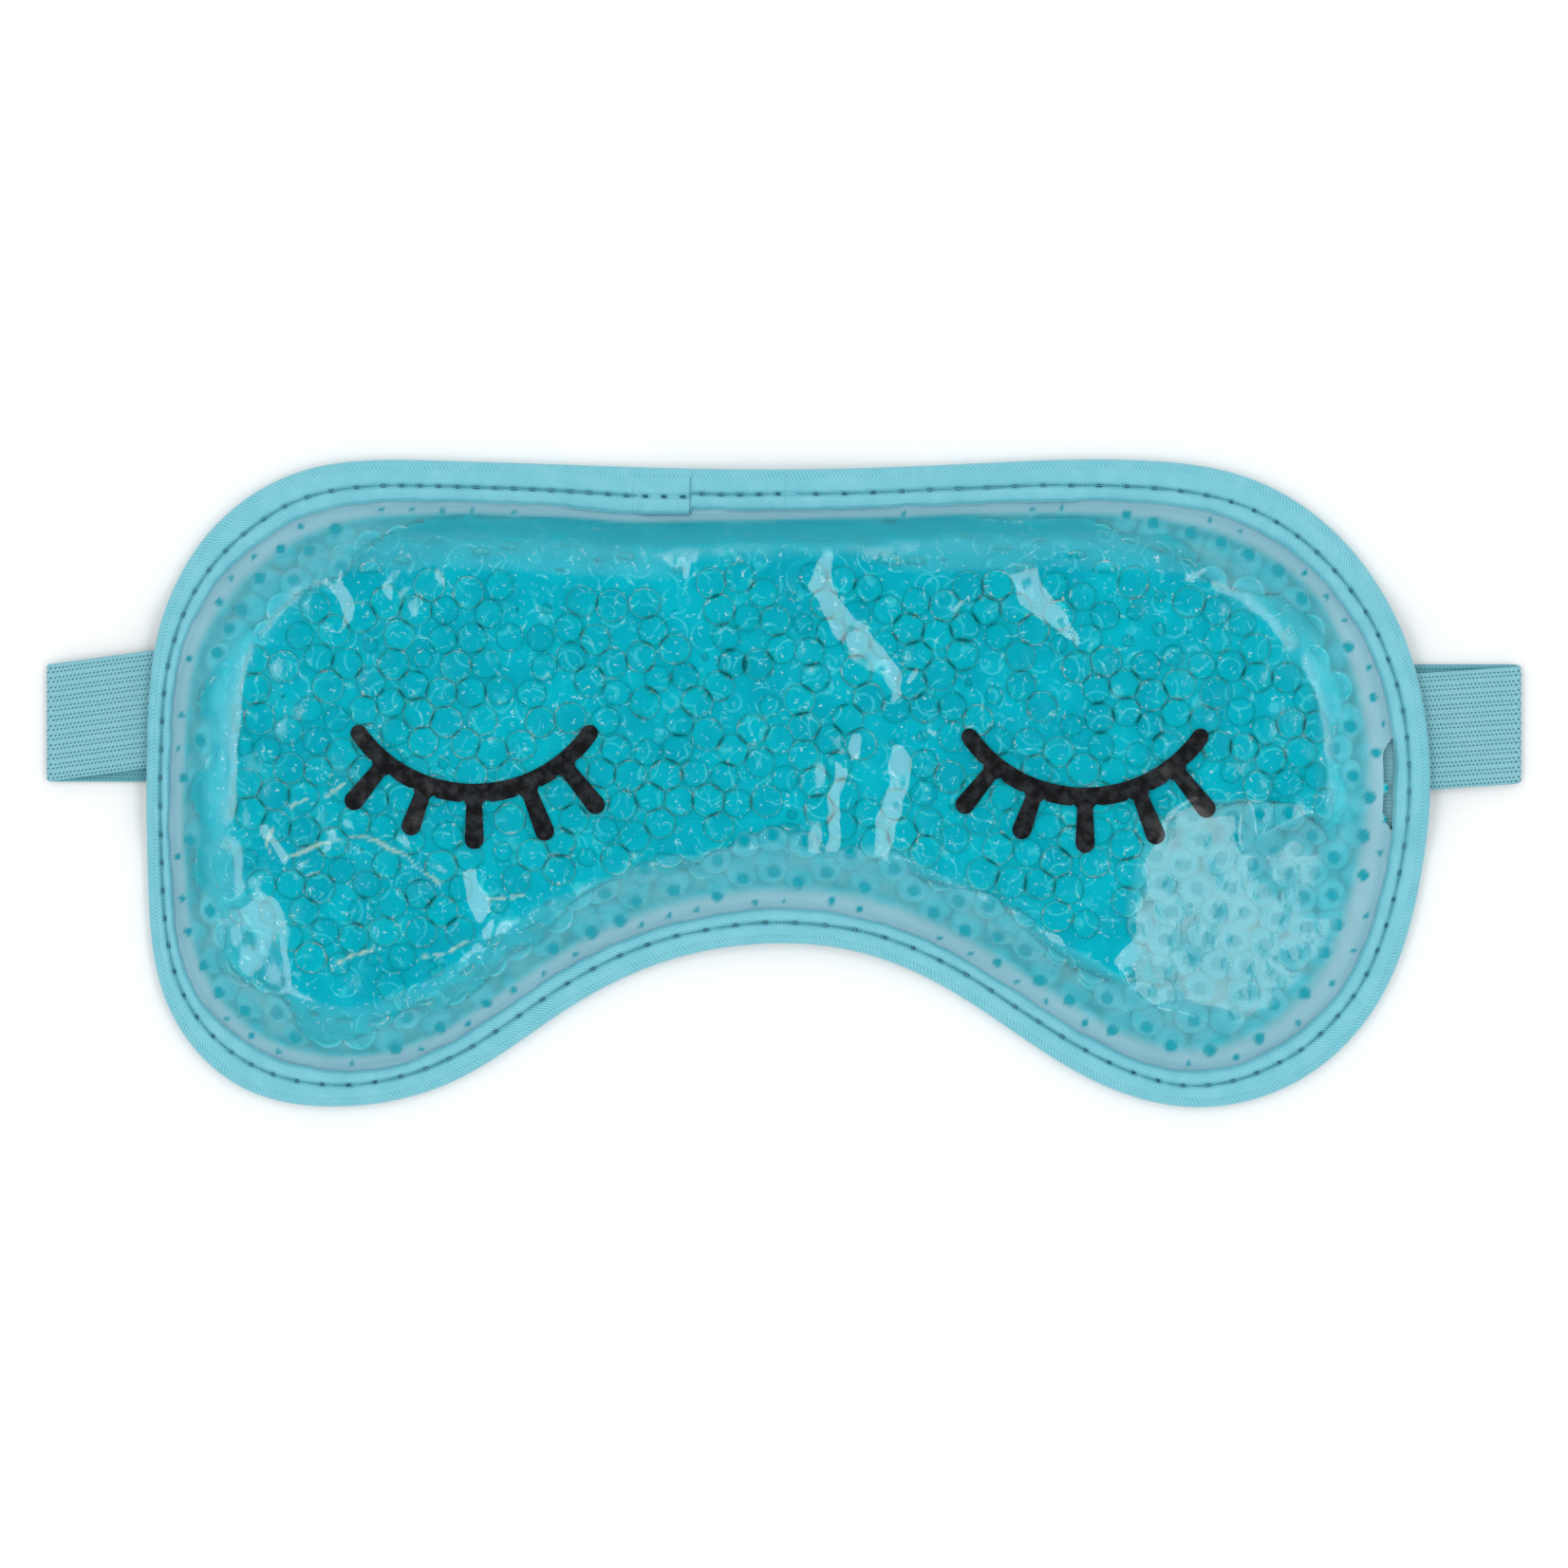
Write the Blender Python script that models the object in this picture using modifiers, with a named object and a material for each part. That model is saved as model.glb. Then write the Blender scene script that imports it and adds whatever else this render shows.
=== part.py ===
"""Gel-bead eye mask with an elastic head strap, lying face up and flat. Metres, +Z up.

The mask's outline is one smooth closed curve. Every layer is a loft of rings that run round it:
a ring is the outline moved inwards by some distance, at some height. The strap is one band, sewn
to both ends of the mask, folded back at its end folds and laid flat underneath. The mask folds in
half, faces outwards, on a line at x = 0 on its underside, so each of its layers is two nodes that
meet there. As it folds, the strap opens at its end folds and bends in its middle: the two halves and
the two runs of the strap are the equal sides of a rhombus.
"""

import math

import bmesh
import bpy
import numpy as np
from mathutils import Vector

MM = 0.001

# Outline, anticlockwise from the top middle: x, y and the width of the binding on the face, in mm.
OUTLINE = (
    (0.0, 51.0, 6.6),
    (-30.0, 51.6, 6.8),
    (-58.0, 52.5, 6.8),
    (-79.0, 50.5, 7.2),
    (-93.5, 40.5, 6.6),
    (-101.0, 26.0, 4.8),
    (-103.2, 5.0, 3.9),
    (-103.1, -17.0, 3.9),
    (-99.7, -36.4, 5.2),
    (-88.3, -49.0, 6.6),
    (-72.0, -52.3, 5.8),
    (-54.0, -48.4, 5.8),
    (-35.0, -36.4, 5.8),
    (-19.0, -28.7, 5.6),
    (-3.0, -25.9, 5.6),
    (13.0, -27.5, 5.6),
    (29.0, -34.7, 5.6),
    (48.0, -47.0, 6.0),
    (66.0, -52.4, 5.8),
    (84.0, -47.8, 6.6),
    (96.0, -36.0, 6.4),
    (103.0, -16.5, 5.9),
    (104.7, 0.0, 5.8),
    (101.0, 22.5, 6.0),
    (91.7, 38.4, 7.0),
    (76.0, 49.4, 7.4),
    (58.0, 52.5, 7.0),
    (29.0, 51.9, 6.6),
)
STATIONS = 72  # places round the outline where each ring has a vertex

# Thicknesses of the layers, and the clearance between neighbours.
GAP = 0.25 * MM
LIP = 0.7 * MM  # the binding, folded double, above and below the layers it holds
BACKING = 0.5 * MM
FILM = 0.25 * MM
BEAD_HEIGHT = 8.0 * MM  # how far the beads lift the front film above its rim
INK = 0.2 * MM

# Levels in the rim, above the surface that the rim rests on.
BACKING_LEVEL = LIP + GAP
BACK_FILM_LEVEL = BACKING_LEVEL + BACKING + GAP
FRONT_FILM_LEVEL = BACK_FILM_LEVEL + FILM + GAP
TOP_LIP_LEVEL = FRONT_FILM_LEVEL + FILM + GAP
RIM_HEIGHT = TOP_LIP_LEVEL + LIP

# Distances inwards from the outline, or from the inner edge of the binding.
BINDING_CORE = 1.5 * MM  # inner wall of the folded binding
LAYER_EDGE = BINDING_CORE + 0.3 * MM  # cut edge of the films and the backing
WELD = 0.5 * MM  # flat weld of the films, inside the binding
DOME = 11.5 * MM  # from the weld to the full height of the beads
SAG = 3.0 * MM  # from the weld to where the backing rests on what is below it
DOME_STEPS = (0.18, 0.4, 0.7, 1.0)  # where the lofted rings stand on the dome
SEAM_SHARE = 0.62  # the stitch line, as a share of the binding's width
GROOVE_DEPTH = 0.5 * MM
GROOVE_HALF = 0.45 * MM
THREAD_RADIUS = 0.15 * MM

# Head strap: a band of elastic.
STRAP_WIDTH = 19.0 * MM
STRAP_THICK = 1.0 * MM
STRAP_GAP = 0.3 * MM
FOLD_X = 118.45 * MM  # the end folds' axes, halfway between the band's two layers
STRAP_Y = 9.9 * MM
SPLIT = 0.15 * MM  # half the gap between the two halves of each layer
TABS = {
    # inner end and tack seam, as distances from x = 0, and the band's middle at the fold and at that end
    "left": {"end": 96.8 * MM, "tack": 100.0 * MM, "y_fold": 10.0 * MM, "y_end": 12.9 * MM},
    "right": {"end": 97.6 * MM, "tack": 101.4 * MM, "y_fold": 9.5 * MM, "y_end": 8.1 * MM},
}
TACK_MARGIN = 2.0 * MM  # from the band's edges to the ends of the tack seam
TAB_LEVEL = STRAP_THICK + STRAP_GAP
INNER_LEVEL = TAB_LEVEL  # the middle of the mask lies on the strap
RIM_LIFT = TAB_LEVEL + STRAP_THICK + STRAP_GAP  # the rim lies on the sewn ends and the strap
LIFT_CENTRE_Y = 10.5 * MM
LIFT_HALF = 14.0 * MM
LIFT_RAMP = 10.0 * MM
LIFT_MIN_X = 80.0 * MM
FOLD_LIFT_HALF, FOLD_LIFT_RAMP = 6.0 * MM, 20.0 * MM  # beside the fold line, which lies on the strap
EASE_START, EASE_LENGTH = 5.0 * MM, 7.0 * MM  # from the rim's level to the middle's

# The binding's overlapped join, on the top edge.
LAP_X = -15.1 * MM
LAP_LENGTH = 9.0 * MM
LAP_STEP = 0.3 * MM

# Closed-eye print: an arc of ink with five lashes, alike on both sides.
EYE_CENTRES = {"left": (-50.0 * MM, -1.5 * MM), "right": (48.6 * MM, -2.1 * MM)}
EYE_RADIUS = 21.3 * MM
EYE_STROKE = 2.9 * MM
EYE_HALF_ANGLE = 55.0
LASHES = ((-39.0, 32.2), (-20.0, 31.2), (0.0, 31.6), (21.5, 32.4), (38.5, 32.8))
LASH_HALF = 1.38 * MM

COLOURS = {
    "backing_fabric": ((0.62, 0.80, 0.80), 0.9),
    "clear_film": ((0.70, 0.83, 0.84), 0.1),
    "gel_beads": ((0.05, 0.66, 0.68), 0.2),
    "binding_satin": ((0.35, 0.72, 0.73), 0.5),
    "sewing_thread": ((0.12, 0.46, 0.50), 0.6),
    "print_ink": ((0.01, 0.01, 0.012), 0.2),
    "strap_elastic": ((0.42, 0.70, 0.72), 0.8),
}


def clear_scene():
    for obj in list(bpy.data.objects):
        bpy.data.objects.remove(obj, do_unlink=True)


def new_collection(name):
    collection = bpy.data.collections.new(name)
    bpy.context.scene.collection.children.link(collection)
    return collection


def make_materials():
    made = {}
    for name, (colour, roughness) in COLOURS.items():
        material = bpy.data.materials.new(name)
        material.use_nodes = True
        shader = material.node_tree.nodes["Principled BSDF"]
        shader.inputs["Base Color"].default_value = (*colour, 1.0)
        shader.inputs["Roughness"].default_value = roughness
        shader.inputs["Metallic"].default_value = 0.0
        made[name] = material
    return made


def smoothstep(t):
    t = min(1.0, max(0.0, t))
    return t * t * (3.0 - 2.0 * t)


def closed_spline(knots, count):
    """Points spaced evenly along the periodic cubic spline through the knots, and its tangents."""
    knots = np.array(knots)
    n = len(knots)
    step = np.linalg.norm((np.roll(knots, -1, axis=0) - knots)[:, :2], axis=1)
    before = np.roll(step, 1)
    rise = (np.roll(knots, -1, axis=0) - knots) / step[:, None]
    system = np.zeros((n, n))
    for i in range(n):
        system[i, i - 1] = step[i]
        system[i, i] = 2.0 * (step[i] + before[i])
        system[i, (i + 1) % n] = before[i]
    right = 3.0 * (step[:, None] * np.roll(rise, 1, axis=0) + before[:, None] * rise)
    slope = np.linalg.solve(system, right)
    fine = []
    for i in range(n):
        a, b = knots[i], knots[(i + 1) % n]
        ma, mb = slope[i] * step[i], slope[(i + 1) % n] * step[i]
        for t in np.arange(32) / 32.0:
            fine.append(
                (2 * t**3 - 3 * t**2 + 1) * a
                + (t**3 - 2 * t**2 + t) * ma
                + (3 * t**2 - 2 * t**3) * b
                + (t**3 - t**2) * mb
            )
    fine = np.array(fine + fine[:1])
    along = np.concatenate(([0.0], np.cumsum(np.linalg.norm(np.diff(fine[:, :2], axis=0), axis=1))))
    at = along[-1] * np.arange(count) / count
    points = np.column_stack([np.interp(at, along, fine[:, k]) for k in range(fine.shape[1])])
    tangent = np.roll(points, -1, axis=0)[:, :2] - np.roll(points, 1, axis=0)[:, :2]
    return points, tangent / np.linalg.norm(tangent, axis=1)[:, None]


def rim_lift(x, y):
    """How far the rim is raised: by the strap's ends under it, and where the middle lies on the strap."""
    if abs(x) < LIFT_MIN_X:
        return INNER_LEVEL * smoothstep((FOLD_LIFT_HALF + FOLD_LIFT_RAMP - abs(x)) / FOLD_LIFT_RAMP)
    return RIM_LIFT * smoothstep((LIFT_HALF + LIFT_RAMP - abs(y - LIFT_CENTRE_Y)) / LIFT_RAMP)


class Station:
    """One place on the outline: its point, inward normal, binding width and rim level."""

    def __init__(self, point, tangent):
        self.point = Vector((point[0] * MM, point[1] * MM))
        self.width = point[2] * MM
        self.inward = Vector((-tangent[1], tangent[0]))
        self.lift = rim_lift(*self.point)

    def level(self, inset):
        """Height of whatever the mask rests on, at a distance inwards from the outline."""
        ease = smoothstep((inset - self.width - EASE_START) / EASE_LENGTH)
        return self.lift + (INNER_LEVEL - self.lift) * ease

    def at(self, inset, height):
        spot = self.point + self.inward * inset
        return Vector((spot.x, spot.y, self.level(inset) + height))


def make_stations():
    points, tangents = closed_spline(OUTLINE, STATIONS)
    return [Station(p, t) for p, t in zip(points, tangents)]


def finish_mesh(name, bm):
    bmesh.ops.recalc_face_normals(bm, faces=bm.faces)
    mesh = bpy.data.meshes.new(name)
    bm.to_mesh(mesh)
    bm.free()
    return mesh


def join_rings(bm, inner, outer):
    """Triangles between two rings. Every layer is cut along the same diagonals, so none cross."""
    for i in range(len(inner)):
        j = (i + 1) % len(inner)
        bm.faces.new((inner[i], outer[i], outer[j]))
        bm.faces.new((inner[i], outer[j], inner[j]))


def skin(bm, rings):
    """An open surface from the middle of the mask outwards. Returns its outermost ring."""
    rows = [[bm.verts.new(point) for point in ring] for ring in rings]
    bm.faces.new(rows[0])
    for inner, outer in zip(rows, rows[1:]):
        join_rings(bm, inner, outer)
    return rows[-1]


def hoop(name, rings):
    """A closed mesh round the mask: each ring is one corner of its section."""
    bm = bmesh.new()
    rows = [[bm.verts.new(point) for point in ring] for ring in rings]
    for inner, outer in zip(rows, rows[1:] + rows[:1]):
        join_rings(bm, inner, outer)
    return finish_mesh(name, bm)


def dome_height(rise):
    """Front film's height above its rim, from 0 at the weld to 1 times the dome's width inwards."""
    return BEAD_HEIGHT * math.sin(0.5 * math.pi * min(1.0, max(0.0, rise)))


def backing_bottom(station, inset):
    """The backing's underside, above the surface it rests on."""
    return BACKING_LEVEL * (1.0 - smoothstep((inset - station.width - WELD) / SAG))


def back_film_bottom(station, inset):
    return backing_bottom(station, inset) + BACKING + GAP


def front_film_bottom(station, inset):
    return FRONT_FILM_LEVEL + dome_height((inset - station.width - WELD) / DOME)


def fill_top(station, inset):
    return front_film_bottom(station, inset) - GAP


def fill_bottom(station, inset):
    return back_film_bottom(station, inset) + FILM + GAP


def ring(stations, inset, height):
    return [s.at(inset(s), height(s, inset(s))) for s in stations]


def dome_insets():
    """Where the lofted rings stand, from the middle out to the first one inside the weld."""
    return [lambda s, k=k: s.width + WELD + DOME * k for k in reversed(DOME_STEPS)]


def sheet(name, stations, bottom):
    """The underside of a sheet that fills the outline, out to its cut edge inside the binding."""
    insets = dome_insets() + [lambda s: s.width + WELD, lambda s: LAYER_EDGE]
    bm = bmesh.new()
    skin(bm, [ring(stations, inset, bottom) for inset in insets])
    return finish_mesh(name, bm)


def bead_fill(name, stations):
    """The space that the beads fill, between the two films."""
    bm = bmesh.new()
    face = skin(bm, [ring(stations, inset, fill_top) for inset in dome_insets()])
    back = skin(bm, [ring(stations, inset, fill_bottom) for inset in dome_insets()])
    join_rings(bm, face, back)
    return finish_mesh(name, bm)


def lap(station):
    """Extra thickness where the binding's end laps over its start."""
    x, y = station.point
    return LAP_STEP if y > 0 and LAP_X - LAP_LENGTH < x < LAP_X else 0.0


def binding_section(station):
    """The folded binding's section: distance inwards and height, for each corner in turn."""
    w, high = station.width, RIM_HEIGHT + lap(station)
    seam = SEAM_SHARE * w
    edge, round_by, side = 0.7 * MM, 0.5 * MM, 0.2 * MM
    groove_top, roll = GROOVE_HALF + 0.25 * MM, 0.25 * MM
    outside = [(edge, 0), (side, round_by), (0, 0.5 * high), (side, high - round_by), (edge, high)]
    face = [
        (seam - groove_top, high),
        (seam - GROOVE_HALF, RIM_HEIGHT - GROOVE_DEPTH),
        (seam + GROOVE_HALF, RIM_HEIGHT - GROOVE_DEPTH),
        (seam + groove_top, high),
        (0.5 * (seam + w) + side, high + roll),
        (w, high - 0.1 * MM),
        (w, TOP_LIP_LEVEL),
    ]
    core = [(BINDING_CORE, TOP_LIP_LEVEL), (BINDING_CORE, LIP)]
    underside = [
        (w, LIP),
        (w, 0.1 * MM),
        (seam + groove_top, 0),
        (seam + GROOVE_HALF, GROOVE_DEPTH),
        (seam - GROOVE_HALF, GROOVE_DEPTH),
        (seam - groove_top, 0),
    ]
    return outside + face + core + underside


def binding_rings(stations):
    sections = [binding_section(s) for s in stations]
    return [[s.at(*section[k]) for s, section in zip(stations, sections)] for k in range(len(sections[0]))]


def thread_rings(stations, height, sides=5):
    """A thread laid in the groove of the stitch line."""
    rings = []
    for k in range(sides):
        turn = 2.0 * math.pi * k / sides
        across, up = THREAD_RADIUS * math.cos(turn), THREAD_RADIUS * math.sin(turn)
        rings.append([s.at(SEAM_SHARE * s.width + across, height + up) for s in stations])
    return rings


def half_cutter(side, collection):
    """A box over one half of the mask, which the split at the fold leaves standing."""
    size = Vector((0.2, 0.2, 0.1))
    sign = -1.0 if side == "left" else 1.0
    bpy.ops.mesh.primitive_cube_add(size=1.0, location=(sign * (SPLIT + 0.5 * size.x), 0.0, 0.0))
    cutter = bpy.context.object
    cutter.name = f"keep_{side}"
    cutter.scale = size
    bpy.ops.object.transform_apply(location=False, rotation=False, scale=True)
    cutter.display_type = "WIRE"
    cutter.hide_render = True
    for owner in list(cutter.users_collection):
        owner.objects.unlink(cutter)
    collection.objects.link(cutter)
    return cutter


def place(name, data, material, parent, collection):
    obj = bpy.data.objects.new(name, data)
    obj.data.materials.clear()
    obj.data.materials.append(material)
    obj.parent = parent
    collection.objects.link(obj)
    return obj


def eye_outline():
    """The print's outline: along the top of the arc, then back along its underside and the lashes."""

    def polar(angle, radius):
        a = math.radians(angle)
        return Vector((radius * math.sin(a), EYE_RADIUS + 0.5 * EYE_STROKE - radius * math.cos(a)))

    def lash(angle, length):
        out = polar(angle, EYE_RADIUS + 1.0) - polar(angle, EYE_RADIUS)
        out.normalize()
        across = Vector((out.y, -out.x))
        root, tip = polar(angle, EYE_RADIUS + EYE_STROKE), polar(angle, length) - out * LASH_HALF
        turn = [math.radians(a) for a in (90, 45, 0, -45, -90)]
        rounded = [tip + LASH_HALF * (across * -math.sin(a) + out * math.cos(a)) for a in turn]
        return [root - across * LASH_HALF, *rounded, root + across * LASH_HALF]

    start, end = -EYE_HALF_ANGLE, EYE_HALF_ANGLE
    steps = 14
    top = [polar(start + (end - start) * k / steps, EYE_RADIUS) for k in range(steps + 1)]
    tip_angle, tip_radius = 3.0, EYE_RADIUS + 0.5 * EYE_STROKE
    under = [polar(end + tip_angle, tip_radius), polar(end, EYE_RADIUS + EYE_STROKE)]
    for angle, length in reversed(LASHES):
        under += lash(angle, length * MM)
    under += [polar(start, EYE_RADIUS + EYE_STROKE), polar(start - tip_angle, tip_radius)]
    return top + under


def print_curve(name, side):
    """The ink as a flat outline with thickness, on top of the front film."""
    curve = bpy.data.curves.new(name, "CURVE")
    curve.dimensions = "2D"
    curve.fill_mode = "BOTH"
    curve.extrude = 0.5 * INK
    points = eye_outline()
    spline = curve.splines.new("POLY")
    spline.points.add(len(points) - 1)
    for spot, point in zip(spline.points, points):
        spot.co = (point.x, point.y, 0.0, 1.0)
    spline.use_cyclic_u = True
    return curve


def strap_band(name, profile, centre_y):
    """A band as wide as the strap: a side profile in x and z, carried across, centred on centre_y(x)."""
    bm = bmesh.new()
    face = bm.faces.new([bm.verts.new((x, -0.5 * STRAP_WIDTH, z)) for x, z in profile])
    extruded = bmesh.ops.extrude_face_region(bm, geom=[face])["geom"]
    moved = [v for v in extruded if isinstance(v, bmesh.types.BMVert)]
    bmesh.ops.translate(bm, vec=(0.0, STRAP_WIDTH, 0.0), verts=moved)
    for vert in bm.verts:
        vert.co.y += centre_y(vert.co.x)
    return finish_mesh(name, bm)


def run_profile(sign):
    """Half of the band under the mask, from its end fold to the middle."""
    far, near = sign * (FOLD_X - SPLIT), sign * SPLIT
    return [(far, 0.0), (far, STRAP_THICK), (near, STRAP_THICK), (near, 0.0)]


def bend_profile(sign, steps=8):
    """The band's half-round bend at an end fold, from the sewn end's level down to the run's."""
    outer = 0.5 * (TAB_LEVEL + STRAP_THICK)
    angles = [math.pi * (k / steps - 0.5) for k in range(steps + 1)]

    def arc(radius, turns):
        return [(sign * (FOLD_X + SPLIT + radius * math.cos(a)), outer + radius * math.sin(a)) for a in turns]

    return arc(outer, angles) + arc(outer - STRAP_THICK, reversed(angles))


def tab_profile(sign, tab):
    """The sewn end: flat on the strap below, with a groove in its underside for the tack seam."""
    low, high = TAB_LEVEL, TAB_LEVEL + STRAP_THICK
    slack = GROOVE_HALF + 0.1 * MM
    groove = [(tab["tack"] - slack, low), (tab["tack"] - slack, low + GROOVE_DEPTH)]
    groove += [(tab["tack"] + slack, low + GROOVE_DEPTH), (tab["tack"] + slack, low)]
    corners = [(FOLD_X - SPLIT, low), (FOLD_X - SPLIT, high), (tab["end"], high), (tab["end"], low)]
    return [(sign * x, z) for x, z in corners + groove]


def tab_centre(tab):
    def centre(x):
        share = (abs(x) - tab["end"]) / (FOLD_X - tab["end"])
        return tab["y_end"] + (tab["y_fold"] - tab["y_end"]) * share

    return centre


def tack_curve(name, sign, tab):
    """The tack seam's thread, across the underside of the sewn end."""
    curve = bpy.data.curves.new(name, "CURVE")
    curve.dimensions = "3D"
    curve.bevel_depth = THREAD_RADIUS
    curve.bevel_resolution = 1
    curve.use_fill_caps = True
    half = 0.5 * STRAP_WIDTH - TACK_MARGIN
    middle = tab_centre(tab)(tab["tack"])
    z = TAB_LEVEL + GROOVE_DEPTH - GAP - THREAD_RADIUS
    spline = curve.splines.new("POLY")
    spline.points.add(1)
    for spot, y in zip(spline.points, (middle - half, middle + half)):
        spot.co = (sign * tab["tack"], y, z, 1.0)
    return curve


def build():
    clear_scene()
    parts = new_collection("eye_mask")
    cutters = new_collection("cutters")
    materials = make_materials()
    stations = make_stations()

    origin = bpy.data.objects.new("mask_origin", None)
    parts.objects.link(origin)

    needle_level = RIM_HEIGHT - GROOVE_DEPTH + GAP + THREAD_RADIUS
    bobbin_level = THREAD_RADIUS + 0.02 * MM
    needle = hoop("needle_thread", thread_rings(stations, needle_level))
    bobbin = hoop("bobbin_thread", thread_rings(stations, bobbin_level))
    # Each layer's material, mesh and, where its mesh is an open sheet, the thickness added on top.
    layers = {
        "backing": ("backing_fabric", sheet("backing", stations, backing_bottom), BACKING),
        "back_film": ("clear_film", sheet("back_film", stations, back_film_bottom), FILM),
        "bead_fill": ("gel_beads", bead_fill("bead_fill", stations), None),
        "front_film": ("clear_film", sheet("front_film", stations, front_film_bottom), FILM),
        "edge_binding": ("binding_satin", hoop("edge_binding", binding_rings(stations)), None),
        "needle_thread": ("sewing_thread", needle, None),
        "bobbin_thread": ("sewing_thread", bobbin, None),
    }
    top_of_film = INNER_LEVEL + FRONT_FILM_LEVEL + BEAD_HEIGHT + FILM

    for side, sign in (("left", -1.0), ("right", 1.0)):
        keep = half_cutter(side, cutters)
        for name, (slot, mesh, thickness) in layers.items():
            piece = place(f"{name}_{side}", mesh, materials[slot], origin, parts)
            if thickness:
                shell = piece.modifiers.new("thickness", "SOLIDIFY")
                shell.thickness = thickness
                shell.offset = 1.0
            split = piece.modifiers.new("split_at_fold", "BOOLEAN")
            split.operation = "INTERSECT"
            split.object = keep

        eye_x, eye_y = EYE_CENTRES[side]
        name = f"eyelash_print_{side}"
        ink = place(name, print_curve(name, side), materials["print_ink"], origin, parts)
        ink.location = (eye_x, eye_y, top_of_film + GAP + 0.5 * INK)

        name = f"strap_run_{side}"
        mesh = strap_band(name, run_profile(sign), lambda x: STRAP_Y)
        place(name, mesh, materials["strap_elastic"], origin, parts)

        name = f"strap_bend_{side}"
        mesh = strap_band(name, bend_profile(sign), lambda x: STRAP_Y)
        place(name, mesh, materials["strap_elastic"], origin, parts)

        name, tab = f"strap_tab_{side}", TABS[side]
        mesh = strap_band(name, tab_profile(sign, tab), tab_centre(tab))
        place(name, mesh, materials["strap_elastic"], origin, parts)

        name = f"strap_tack_{side}"
        place(name, tack_curve(name, sign, tab), materials["sewing_thread"], origin, parts)


build()
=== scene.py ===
"""Looks of the gel-bead eye mask. Lengths are in millimetres, and make_mesh() turns them to metres."""

import math  # noqa: E402

import bpy  # noqa: E402
import numpy as np  # noqa: E402
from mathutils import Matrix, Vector  # noqa: E402
from mathutils.geometry import delaunay_2d_cdt  # noqa: E402


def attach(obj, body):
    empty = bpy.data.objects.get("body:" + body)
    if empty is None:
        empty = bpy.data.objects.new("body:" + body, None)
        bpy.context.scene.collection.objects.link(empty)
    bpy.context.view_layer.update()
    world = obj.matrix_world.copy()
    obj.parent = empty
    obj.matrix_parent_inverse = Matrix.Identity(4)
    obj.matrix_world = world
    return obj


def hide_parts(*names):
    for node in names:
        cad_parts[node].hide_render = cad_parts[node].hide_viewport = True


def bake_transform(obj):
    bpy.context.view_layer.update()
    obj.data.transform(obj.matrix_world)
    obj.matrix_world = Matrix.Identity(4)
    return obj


MM = 0.001
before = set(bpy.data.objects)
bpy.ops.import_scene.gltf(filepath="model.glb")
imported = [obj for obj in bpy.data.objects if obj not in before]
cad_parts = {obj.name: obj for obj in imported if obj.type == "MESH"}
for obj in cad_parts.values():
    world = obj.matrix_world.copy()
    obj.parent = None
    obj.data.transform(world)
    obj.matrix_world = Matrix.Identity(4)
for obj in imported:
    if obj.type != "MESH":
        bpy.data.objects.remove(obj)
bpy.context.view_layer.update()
RNG = np.random.RandomState(7)

# Outline, anticlockwise from the top middle: x, y, binding width on the face, and how far inwards
# from the binding the beads lie in a single dry layer.
OUTLINE = (
    (0.0, 51.0, 6.6, 2.0),
    (-30.0, 51.6, 6.8, 2.0),
    (-58.0, 52.5, 6.8, 4.0),
    (-79.0, 50.5, 7.2, 10.0),
    (-93.5, 40.5, 6.6, 12.0),
    (-101.0, 26.0, 4.8, 8.0),
    (-103.2, 5.0, 3.9, 6.0),
    (-103.1, -17.0, 3.9, 6.0),
    (-99.7, -36.4, 5.2, 8.0),
    (-88.3, -49.0, 6.6, 8.0),
    (-72.0, -52.3, 5.8, 6.0),
    (-54.0, -48.4, 5.8, 6.0),
    (-35.0, -36.4, 5.8, 7.0),
    (-19.0, -28.7, 5.6, 10.0),
    (-3.0, -25.9, 5.6, 11.0),
    (13.0, -27.5, 5.6, 11.0),
    (29.0, -34.7, 5.6, 10.0),
    (48.0, -47.0, 6.0, 11.0),
    (66.0, -52.4, 5.8, 13.0),
    (84.0, -47.8, 6.6, 16.0),
    (96.0, -36.0, 6.4, 18.0),
    (103.0, -16.5, 5.9, 12.0),
    (104.7, 0.0, 5.8, 9.0),
    (101.0, 22.5, 6.0, 8.0),
    (91.7, 38.4, 7.0, 8.0),
    (76.0, 49.4, 7.4, 9.0),
    (58.0, 52.5, 7.0, 6.0),
    (29.0, 51.9, 6.6, 2.5),
)
# Heights in the rim, above the level it lies on.
RIM_TOP = 3.4
LIP_TOP_INSIDE = 2.65
LIP_BOTTOM_INSIDE = 0.75
FILM_FRONT_RIM = 2.45
FILM_BACK_RIM = 1.95
BACKING_RIM = 1.2
BEAD_RISE = 8.0  # the front film's rise from its rim to the full height of the beads
PUFF = (4.4, 0.5, 9.5)  # from the weld to that height: at no margin, added per margin, at most
WELD = 0.4
SAG = 3.0
FILM_EDGE = 2.0  # the films' cut edge, inside the folded binding
SEAM_SHARE = 0.62  # how far across the binding the seam lies
STITCH, STITCH_AT_JOIN = 4.6, 3.05  # stitch lengths
STITCH_RADIUS, TACK_RADIUS = 0.17, 0.14
HALF_X, HALF_Y = 107.0, 55.0  # the area that grids over the mask cover

SIGN = {"left": -1.0, "right": 1.0}
STRAP_WIDTH = 19.0
RIB_PITCH = 1.56  # of the elastic's ribs, each with two rows of holes
STRAP_THICK = 1.0
FOLD_X = 118.45
STRAP_Y = 9.9
TAB_LEVEL = 1.3
INNER_LEVEL = 1.3
RIM_LIFT = 2.6

LAP_X = -15.1
LAP_LENGTH = 9.0
LAP_STEP = 0.45

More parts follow.
